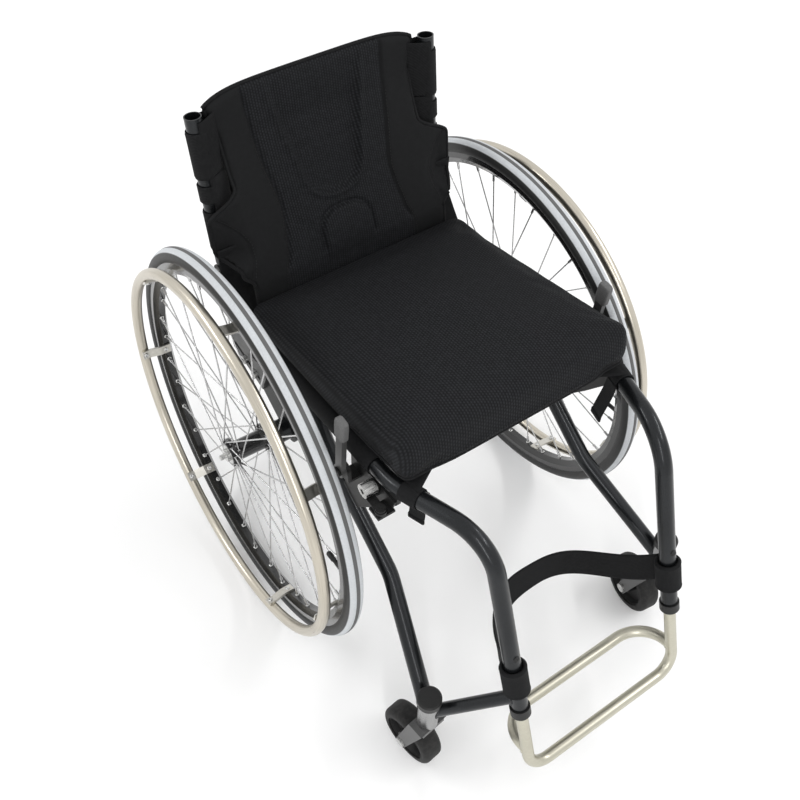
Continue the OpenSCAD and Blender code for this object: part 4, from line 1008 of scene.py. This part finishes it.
def inside_channel(x, z):
    within = (z > np.interp(x, channel[:, 0], channel[:, 1])) & (x < channel[-1, 0])
    return np.where(within, 1, -1) * from_line(x, z, channel)


def inside_patch(x, z):
    up = np.maximum(z - patch_low, 0) / (patch_high - patch_low)
    return (1 - ((x / patch_half) ** patch_power + up ** patch_power) ** (1 / patch_power)) * patch_half


def crease(distance, width):
    """1 on a line, and falling to 0 a few widths away from it."""
    return np.exp(-(distance / width) ** 2)


def relief(x, z):
    """Height of the sewn detail on the cover's face."""
    x = abs(x)
    fade = 1 - 0.75 * smooth(z, 0.185, 0.238)
    sunk, patch = inside_channel(x, z), inside_patch(x, z)
    height = (channel_lip * crease(sunk + 0.005, 0.004) - channel_depth * smooth(sunk, -0.001, 0.005)) * fade
    height -= channel_crease * crease(sunk, seam_w) * fade
    height += patch_lift * smooth(patch, 0, 0.006) - patch_crease * crease(patch, seam_w)
    height -= panel_crease * crease(from_line(x, z, panel_seam), seam_w)
    height -= corner_crease * crease(from_line(x, z, corner_seam), corner_seam_w) * smooth(z, 0.0, 0.015)
    return height * smooth(z, -0.01, 0.012)


def cover_held(p, n):
    """Points of the cover's back, its edges, its seams and its lowest part."""
    x, z = abs(p[:, 0]), p[:, 2]
    sewn = np.minimum(from_line(x, z, panel_seam), from_line(x, z, corner_seam))
    to_edge = to_cover_edge(x / cover_width(z), z)
    return (n[:, 1] > -0.3) | (to_edge < 0.007) | (sewn < 0.003) | (z < 0.002)


cover_mesh = inflated(cover_base, 0.004, cover_held, lambda p, n: swell * smooth(p[:, 2], 0.0, 0.03))
spots, normals = read(cover_mesh.vertices), read(cover_mesh.vertex_normals, "vector")
faced = smooth(-normals[:, 1], 0.35, 0.75)
spots += normals * (relief(spots[:, 0], spots[:, 2]) * faced)[:, None]
cover_mesh.vertices.foreach_set("co", spots.ravel())
add_attribute(cover_mesh, "panel", smooth(inside_panel(abs(spots[:, 0]), spots[:, 2]), -0.0008, 0.0008))
cover_tree = tree_of(cover_mesh, spots)
back_up = back_matrix.to_3x3() @ upright
cover_cloth = knitted("cover_cloth", (1, 0, 0), tuple(back_up), "panel")


def on_cover(line, lift, sign):
    """A seam's line on the cover's face, lifted off it."""
    path = []
    for x, _, z in spaced([Vector((sign * p[0], 0, p[1])) for p in line], 0.004):
        spot, normal, _, _ = cover_tree.ray_cast(Vector((x, -0.3, z)), Vector((0, 1, 0)))
        if spot is not None:
            path.append(back_matrix @ (spot + normal * lift))
    return path


stitch_in, stitch_top = np.array((0.0042, 0)), 0.236
for sign, side in ((1, "left"), (-1, "right")):
    for name, line in (("panel", panel_seam + stitch_in), ("corner", corner_seam - stitch_in)):
        kept = np.array([p for p in line if p[1] < stitch_top])
        row = on_cover(kept, 0.0002, sign)
        stitches(side + "_cover_" + name + "_stitches", row, thread, "backrest")
side_z = np.linspace(cover_end(1), cover_low, 80)
border = [(u, cover_end(u)) for u in np.linspace(-1, 1, 60)] + [(1, z) for z in side_z[1:]]
border += [(u, cover_low) for u in np.linspace(1, -1, 60)[1:]] + [(-1, z) for z in side_z[-2:0:-1]]
edge = [Vector(cover_points(np.array(u), np.array(z), 0)) for u, z in border]
edge = [back_matrix @ p for p in spaced(edge, 0.004, closed=True)]
show(mesh_of("cover_piping", *swept(edge, 0.0024), turn_out=True), cloth, "backrest")
cover_mesh.transform(back_matrix)
cover = show(cover_mesh, cover_cloth, "backrest")
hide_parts("backrest_cover")

# Backrest straps: three webbing loops round each tube, whose tails run in to the cover's edge and behind it.
# They are sewn flat where the tail meets the loop.
strap_r, strap_t, tail_t = 0.01225, 0.0021, 0.0019
front_reach, front_fall = 0.030, 0.018
# (loop's foot, loop's height, tail's reach, tail's foot, tail's height) of each strap, from the top
straps = ((0.146, 0.062, 0.040, 0.147, 0.074), (0.112, 0.024, 0.040, 0.094, 0.052),
          (0.040, 0.058, 0.020, 0.041, 0.052))
for number, (low, height, reach, tail_low, tail_h) in enumerate(straps, 1):
    mid, tail_mid = (Vector((rail_x, 0, z)) for z in (low + height / 2, tail_low + tail_h / 2))
    shares = [k / 8 for k in range(9)]
    tails = [[tail_mid + Vector((-reach * t, strap_r, 0)) for t in shares]]
    if number < len(straps):
        tails.append([tail_mid + Vector((-front_reach * t, front_fall * t ** 1.4 - strap_r, 0))
                      for t in shares])
    strap = merged("backrest_strap_%d" % number,
                   ribbon(circle(mid, upright, strap_r), upright, height, strap_t, closed=True, hem=0.12),
                   *(ribbon(tail, upright, tail_h, tail_t, hem=0.12) for tail in tails))
    strap.transform(back_matrix)
    for side, shown in show_both(strap, cloth, "backrest").items():
        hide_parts("backrest_straps")
        side + "_backrest_tube"

# Hip flaps: cloth that hangs from the cover's wings over the hinge brackets, beside the cushion.
# Each bends across the hinge. It rides on no body.
flap_w, flap_t, flap_in = 0.046, 0.0018, 0.007
# (y, z) from the hinge, down the flap
flap_line = [(-0.0215, 0.056), (-0.021, 0.040), (-0.020, 0.020), (-0.025, -0.004), (-0.041, -0.025),
             (-0.057, -0.044)]
hang = spaced([back_matrix.translation + Vector((rail_x - flap_in, y, z)) for y, z in flap_line], 0.004)
flap = mesh_of("hip_flap", *ribbon(hang, Vector((1, 0, 0)), flap_w, flap_t, hem=0.2), turn_out=True)
for side, shown in show_both(flap, cloth, "").items():
    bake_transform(shown)
